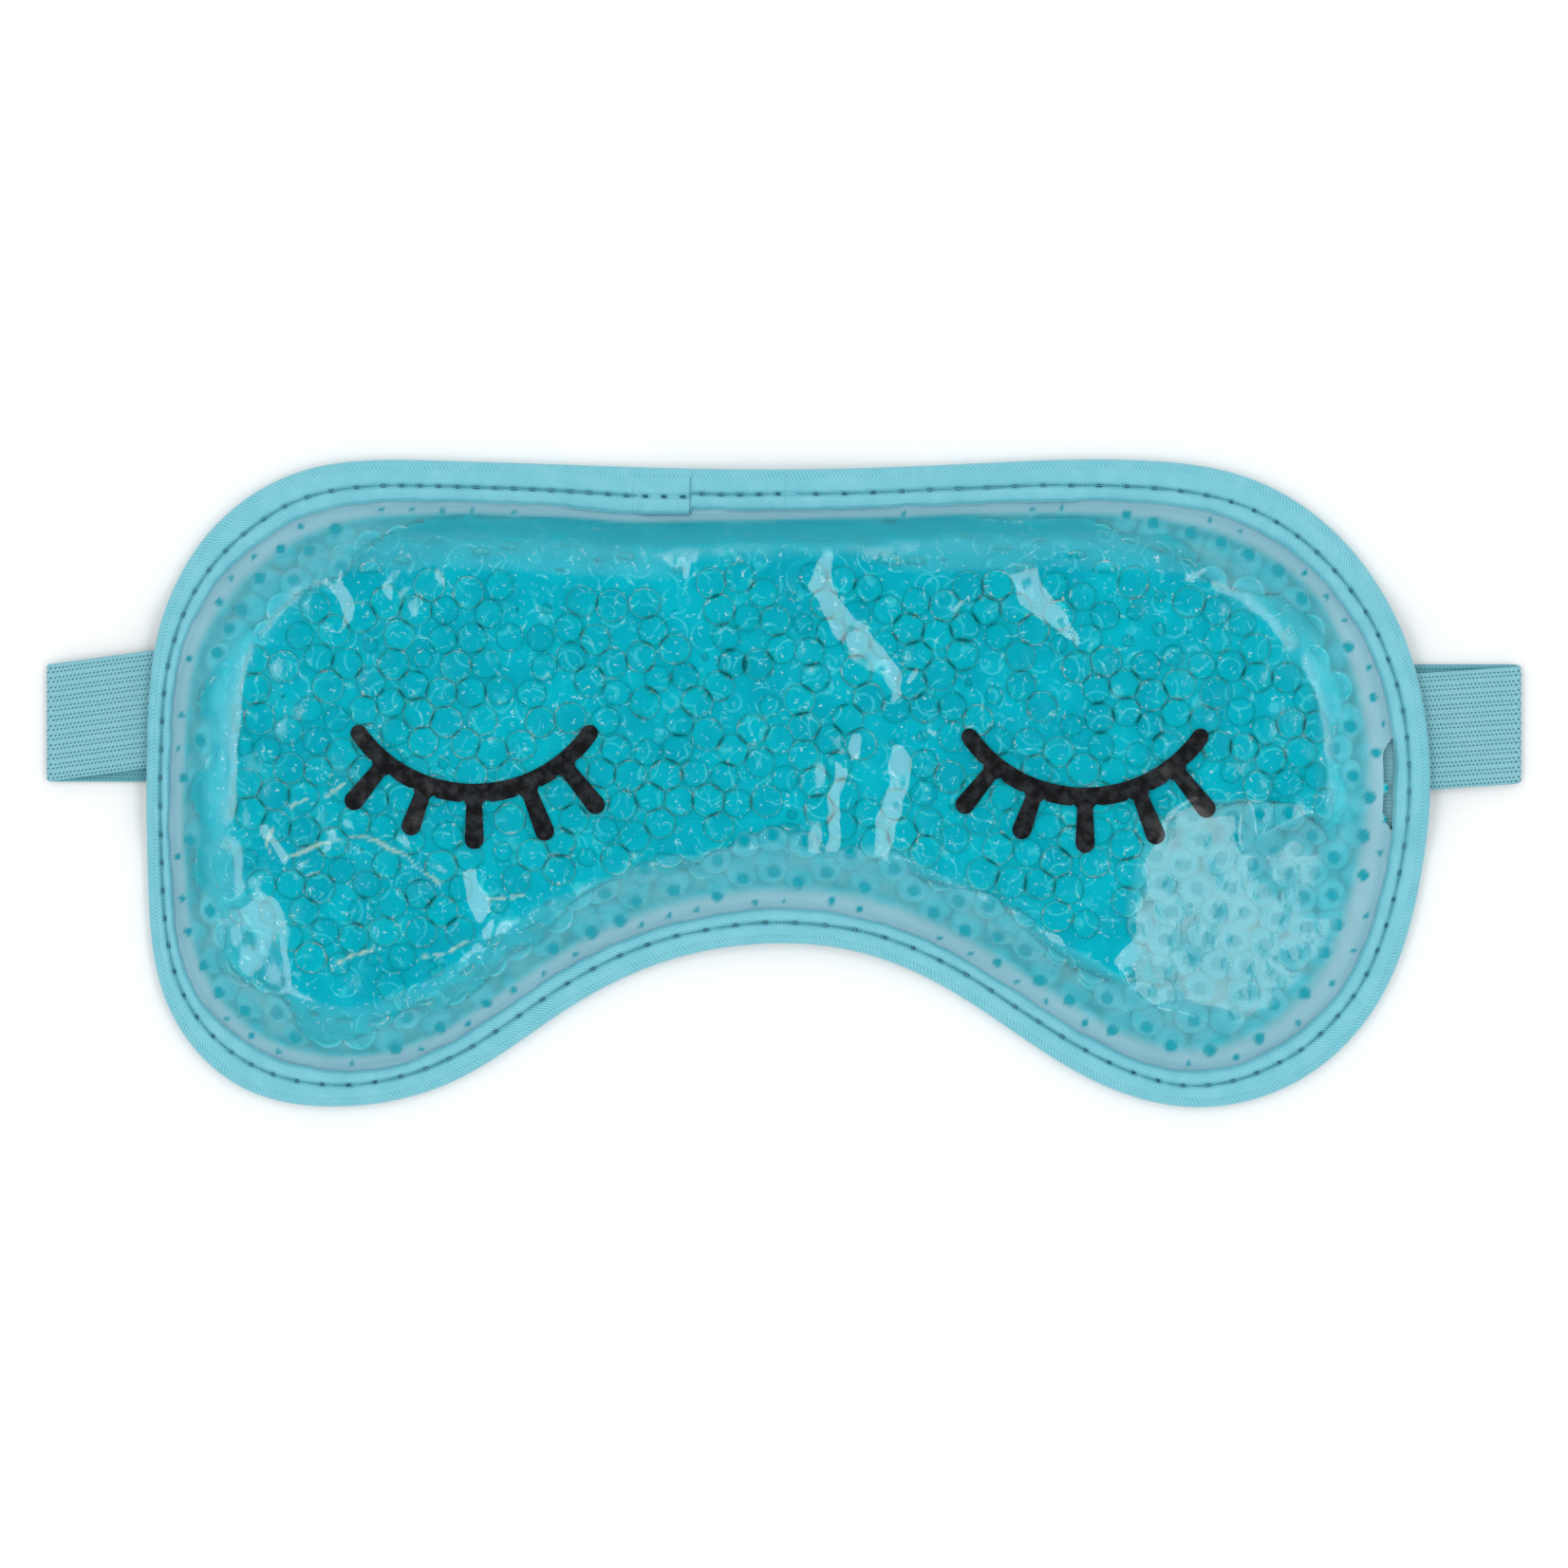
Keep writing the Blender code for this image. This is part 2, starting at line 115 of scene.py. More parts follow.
FINE_CREASES = (  # thin lines along fine creases in the film, where a warm highlight is painted: x, y
    ((-82.5, -7.0), (-83.8, -9.8), (-82.1, -12.7), (-79.3, -11.6), (-75.2, -9.8), (-71.1, -8.8),
     (-67.5, -8.2), (-64.2, -10.2), (-60.6, -11.6), (-58.9, -13.9), (-55.3, -16.1)),
    ((-72.0, -28.9), (-69.1, -27.5), (-66.3, -26.7)),
    ((-58.3, -27.9), (-54.8, -27.5), (-51.2, -25.3)),
    ((-48.0, -18.5), (-44.7, -18.4), (-42.2, -17.9)),
    ((-73.8, -1.9), (-71.1, 0.0)),
    ((-79.7, -3.7), (-77.2, -2.5)),
)
PIVOT_Z = 1.0  # height of the line at the strap's middle that its round end is centred on
BEAD_RADIUS = 2.95
WET_SHAPE, DRY_SHAPE = 0.22, 0.88  # 1 is a ball, and less is flatter: the wet beads are packed tight
FILM_CLEARANCE = 0.3  # from the film's face to the beads
GEL_DEPTH = 0.13  # of the liquid between the beads, below their tops

EYES = {"left": (-50.0, -1.5), "right": (48.6, -2.1)}
EYE_RADIUS = 21.3
EYE_STROKE = 2.9
EYE_HALF_ANGLE = 55.0
LASHES = ((-39.0, 32.2), (-20.0, 31.2), (0.0, 31.6), (21.5, 32.4), (38.5, 32.8))
LASH_HALF = 1.38


# ---------------------------------------------------------------- geometry helpers


def smooth(t):
    t = np.clip(t, 0.0, 1.0)
    return t * t * (3.0 - 2.0 * t)


def closed_spline(knots, count):
    """Points spaced evenly along the periodic cubic spline through the knots, and inward normals."""
    knots = np.array(knots)
    n = len(knots)
    step = np.linalg.norm((np.roll(knots, -1, axis=0) - knots)[:, :2], axis=1)
    before = np.roll(step, 1)
    rise = (np.roll(knots, -1, axis=0) - knots) / step[:, None]
    system = np.zeros((n, n))
    for i in range(n):
        system[i, i - 1] = step[i]
        system[i, i] = 2.0 * (step[i] + before[i])
        system[i, (i + 1) % n] = before[i]
    right = 3.0 * (step[:, None] * np.roll(rise, 1, axis=0) + before[:, None] * rise)
    slope = np.linalg.solve(system, right)
    t = (np.arange(64) / 64.0)[None, :, None]
    a, b = knots[:, None, :], np.roll(knots, -1, axis=0)[:, None, :]
    ma = (slope * step[:, None])[:, None, :]
    mb = (np.roll(slope, -1, axis=0) * step[:, None])[:, None, :]
    fine = (2 * t**3 - 3 * t**2 + 1) * a + (t**3 - 2 * t**2 + t) * ma
    fine = fine + (3 * t**2 - 2 * t**3) * b + (t**3 - t**2) * mb
    fine = fine.reshape(-1, knots.shape[1])
    fine = np.vstack([fine, fine[:1]])
    along = np.concatenate(([0.0], np.cumsum(np.linalg.norm(np.diff(fine[:, :2], axis=0), axis=1))))
    at = along[-1] * np.arange(count) / count
    points = np.column_stack([np.interp(at, along, fine[:, k]) for k in range(fine.shape[1])])
    tangent = np.roll(points, -1, axis=0)[:, :2] - np.roll(points, 1, axis=0)[:, :2]
    tangent /= np.linalg.norm(tangent, axis=1)[:, None]
    return points, np.column_stack([-tangent[:, 1], tangent[:, 0]]), along[-1]


def rim_lift(x, y):
    """How far the rim is raised: by the strap's ends under it, and where the middle lies on the strap."""
    middle = INNER_LEVEL * smooth((26.0 - np.abs(x)) / 20.0)
    ends = RIM_LIFT * smooth((24.0 - np.abs(y - 10.5)) / 10.0)
    return np.where(np.abs(x) < 80.0, middle, ends)


def noise1(s, period, seed, knots):
    """Smooth noise along the closed outline, from -1 to 1."""
    values = np.random.RandomState(seed).uniform(-1, 1, knots)
    u = (s / period) * knots
    i = np.floor(u).astype(int)
    f = smooth(u - i)
    return values[i % knots] * (1 - f) + values[(i + 1) % knots] * f


class Rim:
    """The outline at many places: point, inward normal, binding width, dry margin and level."""

    def __init__(self, count):
        points, self.inward, self.length = closed_spline(OUTLINE, count)
        self.p, self.width, self.margin = points[:, :2], points[:, 2].copy(), points[:, 3]
        self.s = self.length * np.arange(count) / count
        self.lift = rim_lift(self.p[:, 0], self.p[:, 1])
        x, top = self.p[:, 0], self.p[:, 1] > 0
        near_lap = smooth((x - (LAP_X - 30.0)) / 30.0) * (x < LAP_X) * top
        self.width += 0.9 * near_lap

    def level(self, inset, i=slice(None)):
        ease = smooth((inset - self.width[i] - 5.0) / 7.0)
        return self.lift[i] + (INNER_LEVEL - self.lift[i]) * ease

    def nearest(self, q):
        """For each point: the nearest station, and the distance inwards from the outline."""
        index = np.empty(len(q), int)
        for a in range(0, len(q), 4000):
            d = ((q[a : a + 4000, None, :] - self.p[None, :, :]) ** 2).sum(2)
            index[a : a + 4000] = d.argmin(1)
        inward = ((q - self.p[index]) * self.inward[index]).sum(1)
        far = np.linalg.norm(q - self.p[index], axis=1)
        return index, np.where(inward < 0, -far, far)


rim = Rim(1600)
# the film passes under the binding's overlapped join without a step
widths = np.concatenate([rim.width[-30:], rim.width, rim.width[:30]])
rim.film_start = np.convolve(widths, np.ones(61) / 61, "valid")


def wander(q, size, amount, seed):
    """Points moved about smoothly, to make outlines ragged."""
    a, b = q[:, 0] / size + seed, q[:, 1] / size + 2.3 * seed
    dx = np.sin(1.7 * b + 1.3 * np.sin(1.1 * a + seed)) + 0.5 * np.sin(4.1 * b + 2.0 * a)
    dy = np.sin(1.9 * a + 1.2 * np.sin(1.3 * b)) + 0.5 * np.sin(3.7 * a - 2.6 * b + seed)
    return q + amount * np.column_stack([dx, dy])


def slope_patch(q, base, start, toward, slope, half_width):
    """A slope in the film: it leaves the level at start and falls in one direction."""
    toward = np.array(toward) / np.linalg.norm(toward)
    ragged = wander(q, 6.0, 0.16 * half_width, half_width)
    along = (q - np.array(start)) @ toward
    across = (ragged - np.array(start)) @ np.array([-toward[1], toward[0]])
    along = along + 0.55 * ((ragged - q) @ toward)
    plane = INNER_LEVEL + FILM_FRONT_RIM + BEAD_RISE - slope * along
    plane = plane + 0.09 * np.maximum(0.0, np.abs(across) - half_width) ** 2
    return np.where(along > -2.0, np.minimum(base, plane), base)


SLOPES = (
    # start, direction, slope, half width: where the film hangs slack over fewer beads
    ((58.0, -17.0), (0.93, -0.37), 0.13, 14.0),
    ((63.0, 36.0), (0.78, 0.62), 0.15, 4.5),
    ((-80.5, -28.0), (-0.96, -0.27), 0.16, 9.5),
)

CREASES = (
    # centre line, half widths along it, side that it tilts to (+1 right, -1 left)
    (((6.8, 37.5), (6.0, 32.1), (9.4, 25.9), (13.5, 21.3), (18.6, 16.4)), (0.7, 1.8, 2.2, 2.2, 1.4), 1),
    (((39.4, 43.6), (37.8, 35.2), (41.7, 29.0), (47.1, 23.6)), (0.9, 2.4, 2.1, 0.7), 1),
    (((47.5, 43.6), (48.6, 37.8)), (0.8, 0.9), 1),
    (((19.1, 5.2), (17.5, -3.3), (15.5, -11.8)), (1.3, 1.7, 1.1), 1),
    (((9.2, 2.5), (8.0, -3.3), (7.4, -15.6)), (1.0, 0.9, 0.9), -1),
    (((11.9, 7.6), (11.5, 5.2)), (0.9, 0.9), -1),
    (((-71.8, 44.4), (-73.1, 37.5), (-73.1, 32.7), (-69.5, 28.2)), (0.8, 1.0, 1.0, 0.9), -1),
    (((-78.0, 41.9), (-77.5, 35.9), (-75.5, 34.7)), (0.6, 0.7, 0.6), -1),
    (((-80.8, 39.5), (-82.3, 34.2)), (0.8, 0.9), -1),
    (((-88.0, 35.2), (-88.4, 32.6)), (1.0, 1.0), -1),
    (((-57.4, 34.7), (-62.2, 29.9)), (0.8, 0.8), 1),
    (((-61.8, 41.6), (-62.6, 39.5)), (0.7, 0.7), -1),
    (((-50.5, -14.5), (-49.0, -20.5)), (1.1, 1.3), -1),
    (((-63.5, -37.6), (-57.5, -39.2)), (1.1, 1.1), 1),
    (((-47.8, -23.0), (-47.2, -25.4)), (0.9, 0.8), -1),
    (((-84.0, -8.0), (-80.0, -12.5), (-75.0, -9.5)), (0.5, 0.5, 0.5), -1),
    (((-72.0, -7.5), (-62.0, -11.0), (-55.0, -16.5)), (0.5, 0.55, 0.5), 1),
)
CREASE_SLOPE = 0.16


def creases(q):
    """What the creases add to the film's height."""
    total = np.zeros(len(q))
    q = wander(q, 3.0, 0.35, 1.0)
    for line, halves, side in CREASES:
        line, halves = np.array(line), np.array(halves)
        best = np.full(len(q), 1e9)
        signed, half, end = np.zeros(len(q)), np.ones(len(q)), np.zeros(len(q))
        for k in range(len(line) - 1):
            a, b = line[k], line[k + 1]
            d = b - a
            length = np.linalg.norm(d)
            raw = ((q - a) @ d) / length**2
            t = np.clip(raw, 0, 1)
            foot = a + t[:, None] * d
            gap = np.linalg.norm(q - foot, axis=1)
            nearer = gap < best
            best = np.where(nearer, gap, best)
            left = np.array([-d[1], d[0]]) / length
            signed = np.where(nearer, (q - foot) @ left, signed)
            half = np.where(nearer, halves[k] * (1 - t) + halves[k + 1] * t, half)
            over = np.maximum(0.0, np.maximum(-raw, raw - 1.0)) * length
            first, last = k == 0, k == len(line) - 2
            over = np.where((raw < 0) & (not first), 0.0, over)
            over = np.where((raw > 1) & (not last), 0.0, over)
            end = np.where(nearer, over, end)
        # the fold's direction decides how the wave lies, so that its face always looks to that side
        run = line[-1] - line[0]
        left = np.array([-run[1], run[0]]) / np.linalg.norm(run)
        grade = -CREASE_SLOPE * side * np.sign(left[0] if abs(left[0]) > 0.2 else left[1])
        inside = np.clip(signed, -half, half)
        fade = 1.0 - smooth((np.abs(signed) - half) / (4.5 * half))
        total += grade * inside * fade * (1.0 - smooth(end / (1.2 * half)))
    return total


def slope_width(index):
    """How far from the binding the film reaches the full height of the beads."""
    return np.minimum(PUFF[0] + PUFF[1] * rim.margin[index], PUFF[2])


def film_base(q):
    """The front film's height without the beads' own bumps, with the distance from the binding."""
    index, d = rim.nearest(q)
    inner = d - rim.film_start[index]
    level = rim.level(d, index)
    x, y = q.T
    uneven = 1.0 + 0.10 * np.sin(0.33 * y + 0.8 * np.sin(0.21 * x)) + 0.07 * np.sin(0.9 * y + 0.7 * x)
    puff = slope_width(index) * uneven
    sharpness = 1.6 - 0.32 * rim.inward[index, 0] ** 2
    rise = 1.0 - (1.0 - np.clip((inner - WELD) / puff, 0.0, 1.0)) ** sharpness
    base = level + FILM_FRONT_RIM + BEAD_RISE * rise
    for start, toward, slope, half_width in SLOPES:
        base = slope_patch(q, base, start, toward, slope, half_width)
    return base, inner, d, index


def back_height(d, index):
    """The back film's height."""
    inner = d - rim.width[index]
    sag = smooth((inner - WELD) / SAG)
    return rim.level(d, index) + FILM_BACK_RIM - 0.95 * sag


def make_mesh(name, points, faces, material, attributes=None, rounded=True):
    """A piece, with values kept on its vertices. rounded: whether its faces, or which, are shaded smooth."""
    mesh = bpy.data.meshes.new(name)
    points = np.asarray(points).reshape(-1, 3) * MM
    mesh.from_pydata(points.tolist(), [], faces.tolist() if isinstance(faces, np.ndarray) else faces)
    mesh.polygons.foreach_set("use_smooth", np.broadcast_to(rounded, len(mesh.polygons)).tolist())
    for key, values in (attributes or {}).items():
        values = np.asarray(values, np.float32)
        kind, field = ("FLOAT", "value") if values.ndim == 1 else ("FLOAT_VECTOR", "vector")
        mesh.attributes.new(key, kind, "POINT").data.foreach_set(field, values.ravel())
    mesh.update()
    mesh.materials.append(material)
    obj = bpy.data.objects.new(name, mesh)
    bpy.context.scene.collection.objects.link(obj)
    return obj


def quads(rows, columns, closed_rows, closed_columns):
    """Faces of a grid of rows x columns vertices, optionally closed either way."""
    i = np.arange(rows if closed_rows else rows - 1)[:, None]
    j = np.arange(columns if closed_columns else columns - 1)[None, :]
    a, b = i * columns + j, ((i + 1) % rows) * columns + j
    c, d = ((i + 1) % rows) * columns + (j + 1) % columns, i * columns + (j + 1) % columns
    return np.stack([a, b, c, d], axis=-1).reshape(-1, 4)


# ---------------------------------------------------------------- shader helpers


def linear(r, g, b):
    """Linear colour of an 8-bit sRGB colour."""
    return tuple((c / 255 / 12.92) if c <= 10 else ((c / 255 + 0.055) / 1.055) ** 2.4 for c in (r, g, b))


class Shade:
    """A material's node tree, with short ways to add nodes."""

    def __init__(self, name):
        self.material = bpy.data.materials.new(name)
        self.material.use_nodes = True
        self.tree = self.material.node_tree
        self.body = self.tree.nodes["Principled BSDF"]
        self.out = self.tree.nodes["Material Output"]

    def add(self, kind, settings=None, **inputs):
        node = self.tree.nodes.new(kind)
        for key, value in (settings or {}).items():
            setattr(node, key, value)
        for key, value in inputs.items():
            self.set(node, key.replace("_", " "), value)
        return node

    def set(self, node, key, value):
        socket = node.inputs[key]
        if isinstance(value, bpy.types.NodeSocket):
            self.tree.links.new(value, socket)
        elif isinstance(value, tuple) and len(value) == 3 and socket.type == "RGBA":
            socket.default_value = (*value, 1.0)
        else:
            socket.default_value = value

    def math(self, operation, a, b=0.0):
        node = self.add("ShaderNodeMath", {"operation": operation})
        self.set(node, 0, a)
        self.set(node, 1, b)
        return node.outputs[0]

    def plus(self, a, b):
        return self.math("ADD", a, b)

    def times(self, a, b):
        return self.math("MULTIPLY", a, b)

    def wave(self, value, period):
        return self.math("SINE", self.times(value, 2 * math.pi / period))

    def ramp(self, value, low, high, to_low=0.0, to_high=1.0):
        """Smooth step of a value from low to high."""
        node = self.add("ShaderNodeMapRange", {"interpolation_type": "SMOOTHSTEP"})
        for k, v in enumerate((value, low, high, to_low, to_high)):
            self.set(node, k, v)
        return node.outputs[0]

    def mix(self, share, a, b):
        node = self.add("ShaderNodeMix", {"data_type": "RGBA"})
        self.set(node, 0, share)
        self.set(node, 6, a)
        self.set(node, 7, b)
        return node.outputs[2]

    def attribute(self, name, vector=False):
        node = self.add("ShaderNodeAttribute", {"attribute_name": name})
        return node.outputs["Vector" if vector else "Fac"]

    def noise(self, vector, scale, detail=2.0, rough=0.5):
        node = self.add("ShaderNodeTexNoise", Vector=vector, Scale=scale, Detail=detail, Roughness=rough)
        return node.outputs[0]

    def unit(self, vector):
        node = self.add("ShaderNodeVectorMath", {"operation": "NORMALIZE"})
        self.set(node, 0, vector)
        return node.outputs[0]

    def split(self, vector):
        return self.add("ShaderNodeSeparateXYZ", Vector=vector).outputs

    def bump(self, height, strength, distance):
        return self.add("ShaderNodeBump", Height=height, Strength=strength, Distance=distance).outputs[0]

    def mix_shaders(self, share, a, b):
        node = self.add("ShaderNodeMixShader", Fac=share)
        self.tree.links.new(a.outputs[0], node.inputs[1])
        self.tree.links.new(b.outputs[0], node.inputs[2])
        return node

    def finish(self, **inputs):
        for key, value in inputs.items():
            self.set(self.body, key.replace("_", " "), value)
        return self.material


# ---------------------------------------------------------------- materials

TEAL = linear(0, 203, 218)
TEAL_DEEP = linear(0, 188, 206)
TEAL_PALE_AND_RIM_LIGHT = linear(104, 236, 243)
SPARK = linear(215, 243, 246)
HAZE_BEAD = linear(88, 205, 220)
HAZE_RIM_LIGHT = linear(160, 226, 234)
DISC = linear(0, 165, 183)
HAZE_BACK = linear(130, 220, 233)
SATIN = linear(128, 203, 217)
SATIN_DARK = linear(80, 166, 183)
PIT_SHADE = linear(14, 92, 110)
KNIT = linear(129, 186, 197)
KNIT_HOLE_SHADE = linear(18, 72, 88)
INK = linear(20, 22, 24)
BACKING = linear(144, 206, 218)


def bead_material():
    m = Shade("gel_beads")
    flat = m.attribute("flat", True)
    wet = m.attribute("wet")
    touch, up = (m.split(m.unit(m.attribute(name, True)))[2] for name in ("touch", "up"))
    blotch = m.noise(flat, 0.11, 3.0)
    fine = m.noise(flat, 0.9, 2.0)
    patchy = m.noise(flat, 0.33, 2.0)

    # outline of each bead, broken into arcs, and fainter outlines of the beads behind it: painted rim light,
    # lighter than the bead, which also paints over the shade between beads
    edge = m.ramp(up, 0.58, 0.48)
    arcs = m.times(edge, m.ramp(patchy, 0.36, 0.60, 0.7, 1.0))
    lines = arcs
    for scale, offset in ((0.168, 0.0), (0.187, 31.0)):
        place = (offset, 2.0 * offset, 0.0)
        moved = m.add("ShaderNodeMapping", Vector=flat, Location=place, Scale=(1.0, 1.0, 0.02))
        cells = m.add("ShaderNodeTexVoronoi", Vector=moved.outputs[0], Scale=scale, Randomness=0.7)
        ring = m.ramp(m.math("ABSOLUTE", m.math("SUBTRACT", cells.outputs["Distance"], 0.46)), 0.042, 0.014)
        seen = m.noise(moved.outputs[0], 0.3, 2.0)
        lines = m.math("MAXIMUM", lines, m.times(ring, m.ramp(seen, 0.44, 0.60, 0.0, 0.55)))
    # painted glints: small white highlights along the rim lines and in short curls
    glint = m.times(m.ramp(lines, 0.35, 0.8), m.ramp(fine, 0.56, 0.64))
    curl = m.ramp(m.math("ABSOLUTE", m.math("SUBTRACT", m.noise(flat, 0.75, 1.0), 0.5)), 0.018, 0.008)
    bits = m.ramp(m.noise(flat, 0.9, 2.0), 0.57, 0.62)
    glint = m.math("MAXIMUM", glint, m.times(m.times(curl, bits), 0.85))
    disc_soft = m.ramp(touch, 0.86, 0.95)

    wet_colour = m.mix(m.ramp(blotch, 0.35, 0.7), TEAL, TEAL_DEEP)
    wet_colour = m.mix(m.times(disc_soft, 0.35), wet_colour, TEAL_DEEP)
    wet_colour = m.mix(m.ramp(fine, 0.56, 0.78, 0.0, 0.2), wet_colour, TEAL_PALE_AND_RIM_LIGHT)
    # painted rim light on the wet beads
    wet_colour = m.mix(m.times(lines, 0.8), wet_colour, TEAL_PALE_AND_RIM_LIGHT)
    wet_colour = m.mix(glint, wet_colour, SPARK)

    disc = m.ramp(touch, 0.905, 0.935)
    dry_colour = m.mix(m.ramp(fine, 0.35, 0.75), HAZE_BEAD, linear(104, 208, 222))
    # painted rim light on the dry beads too
    dry_colour = m.mix(m.times(m.ramp(up, 0.5, 0.3), 0.5), dry_colour, HAZE_RIM_LIGHT)
    dry_colour = m.mix(disc, dry_colour, DISC)
    colour = m.mix(wet, dry_colour, wet_colour)
    rough = m.ramp(fine, 0.3, 0.7, 0.34, 0.5)
    return m.finish(
        Base_Color=colour,
        Roughness=rough,
        Specular_IOR_Level=0.02,
        Subsurface_Weight=0.85,
        Subsurface_Radius=(0.6, 1.0, 1.0),
        Subsurface_Scale=2.2 * MM,
        Normal=m.bump(m.noise(flat, 2.2, 2.0), 0.08, 0.1 * MM),
    )


def vinyl(name):
    """A film's node tree, with its cloudiness, its ripples and the normal that they give."""
    m = Shade(name)
    flat = m.attribute("flat", True)
    ripple = m.noise(flat, 0.8, 3.0, 0.6)
    return m, m.noise(flat, 0.25, 4.0, 0.6), ripple, m.bump(ripple, m.attribute("slack"), 0.2 * MM)


def film_front_material():
    """Clear vinyl. The haze is milky film that isn't wetted by the gel; it also carries the painted fill
    light near the wet zone's edge and the painted warm highlights on the fine creases.
    """
    m, cloud, ripple, normal = vinyl("clear_film_front")
    haze = m.attribute("haze")
    colour = m.mix(m.ramp(cloud, 0.3, 0.7), linear(58, 200, 217), linear(106, 214, 230))
    colour = m.mix(m.ramp(haze, 0.46, 0.8), colour, linear(156, 204, 218))
    # contact discs of the dry beads, and painted teal fill light near the wet zone's edge
    colour = m.mix(m.attribute("contact_and_fill_light"), colour, DISC)
    # painted warm highlight along the fine creases
    colour = m.mix(m.attribute("warm_highlight"), colour, linear(196, 226, 206))
    m.finish(Base_Color=colour, Roughness=m.ramp(ripple, 0.3, 0.7, 0.25, 0.45), Specular_IOR_Level=0.0)
    clear = m.add("ShaderNodeBsdfTransparent", Color=(0.985, 0.995, 0.995))
    crinkled = m.attribute("crinkled")
    dull = m.plus(m.ramp(cloud, 0.3, 0.7, 0.05, 0.1), m.times(crinkled, 0.5))
    gloss = m.add("ShaderNodeBsdfGlossy", Color=(1.0, 1.0, 1.0), Roughness=dull, Normal=normal)
    fresnel = m.add("ShaderNodeFresnel", IOR=1.52, Normal=normal)
    shine = m.times(fresnel.outputs[0], m.ramp(crinkled, 0.1, 0.9, 1.0, 0.35))
    coated = m.mix_shaders(shine, m.mix_shaders(haze, clear, m.body), gloss)
    m.tree.links.new(coated.outputs[0], m.out.inputs["Surface"])
    return m.material


def film_back_material():
    """The back film, coloured by the gel or the air behind it."""
    m, cloud, _, normal = vinyl("clear_film_back")
    colour = m.mix(m.attribute("wet"), HAZE_BACK, TEAL_DEEP)
    colour = m.mix(m.ramp(cloud, 0.3, 0.7, 0.0, 0.35), colour, linear(132, 188, 200))
    return m.finish(Base_Color=colour, Roughness=m.ramp(cloud, 0.3, 0.7, 0.2, 0.34), Normal=normal)


def satin_material():
    """Bias tape: a fine twill at 45 degrees to the tape. tape = along, across, depth of the stitch pits,
    which with the lap join are darkened by painted shade.
    """
    m = Shade("binding_satin")
    tape = m.attribute("tape", True)
    along, across, pit = m.split(tape)
    slant = m.plus(along, m.times(across, 1.15))
    wale = m.wave(slant, 0.62)
    thread = m.wave(m.math("SUBTRACT", along, across), 0.45)
    weave = m.plus(m.times(wale, 0.7), m.times(thread, 0.3))
    mottle = m.noise(tape, 0.22, 3.0, 0.6)
    slub = m.noise(m.add("ShaderNodeMapping", Vector=tape, Scale=(0.35, 2.2, 1.0)).outputs[0], 1.0, 2.0)
    colour = m.mix(m.ramp(weave, -1.0, 1.0, 0.0, 1.0), SATIN_DARK, SATIN)
    colour = m.mix(m.ramp(mottle, 0.35, 0.7, 0.0, 0.30), colour, linear(141, 210, 221))
    colour = m.mix(m.ramp(slub, 0.5, 0.75, 0.0, 0.22), colour, linear(108, 187, 201))
    # painted shade in the needle holes and along the lap join
    colour = m.mix(m.ramp(pit, 0.25, 0.85), colour, PIT_SHADE)
    height = m.plus(m.times(weave, 0.5), m.times(slub, 0.8))
    return m.finish(
        Base_Color=colour,
        Roughness=m.ramp(mottle, 0.3, 0.7, 0.48, 0.6),
        Specular_IOR_Level=0.35,
        Sheen_Weight=0.25,
        Sheen_Roughness=0.4,
        Sheen_Tint=(0.8, 0.95, 1.0),
        Normal=m.bump(height, 0.45, 0.05 * MM),
    )


def thread_material():
    m = Shade("sewing_thread")
    along, across, _ = m.split(m.attribute("tape", True))
    ply = m.wave(m.plus(along, across), 0.5)
    colour = m.mix(m.ramp(ply, -1.0, 1.0), linear(44, 128, 146), linear(88, 168, 184))
    return m.finish(Base_Color=colour, Roughness=0.6, Normal=m.bump(ply, 0.5, 0.04 * MM))


def knit_material():
    """Knitted elastic: plain bands between pairs of rows of small holes, which are darkened with painted
    shade. tape = along, across, and the darker reverse face, partly its own colour and partly painted shade.
    """
    m = Shade("strap_elastic")
    tape = m.attribute("tape", True)
    along, across, shade = m.split(tape)
    pitch, cell = RIB_PITCH, 0.62
    band = m.math("DIVIDE", across, pitch)
    rows = []
    for offset, shift in ((0.30, 0.0), (0.70, 0.5)):
        v = m.math("SUBTRACT", m.math("FRACT", band), offset)
        u = m.math("SUBTRACT", m.math("FRACT", m.plus(m.math("DIVIDE", along, cell), shift)), 0.5)
        v, u = m.times(v, pitch), m.times(u, cell)
        # holes lean, as the yarns between them do
        u = m.plus(u, m.times(v, 0.5))
        far = m.math("SQRT", m.plus(m.times(u, u), m.times(v, v)))
        rows.append(m.ramp(far, 0.2, 0.08))
    hole = m.math("MAXIMUM", rows[0], rows[1])
    yarn = m.wave(m.plus(along, m.times(across, 0.5)), 0.31)
    fuzz = m.noise(tape, 2.5, 3.0, 0.6)
    tone = m.noise(tape, 0.12, 2.0)
    colour = m.mix(m.ramp(yarn, -1.0, 1.0, 0.0, 0.5), KNIT, linear(116, 182, 195))
    colour = m.mix(m.ramp(fuzz, 0.4, 0.7, 0.0, 0.35), colour, linear(150, 208, 217))
    colour = m.mix(m.ramp(tone, 0.4, 0.6, 0.0, 0.25), colour, linear(118, 184, 198))
    # painted shade in the holes
    colour = m.mix(m.times(hole, 0.85), colour, KNIT_HOLE_SHADE)
    # the reverse face: darker, partly its own colour and partly painted shade for the inside of the end fold
    colour = m.mix(shade, colour, linear(60, 140, 150))
    height = m.math("SUBTRACT", m.times(yarn, 0.25), hole)
    normal = m.bump(height, 0.6, 0.12 * MM)
    return m.finish(Base_Color=colour, Roughness=0.85, Specular_IOR_Level=0.2, Normal=normal)


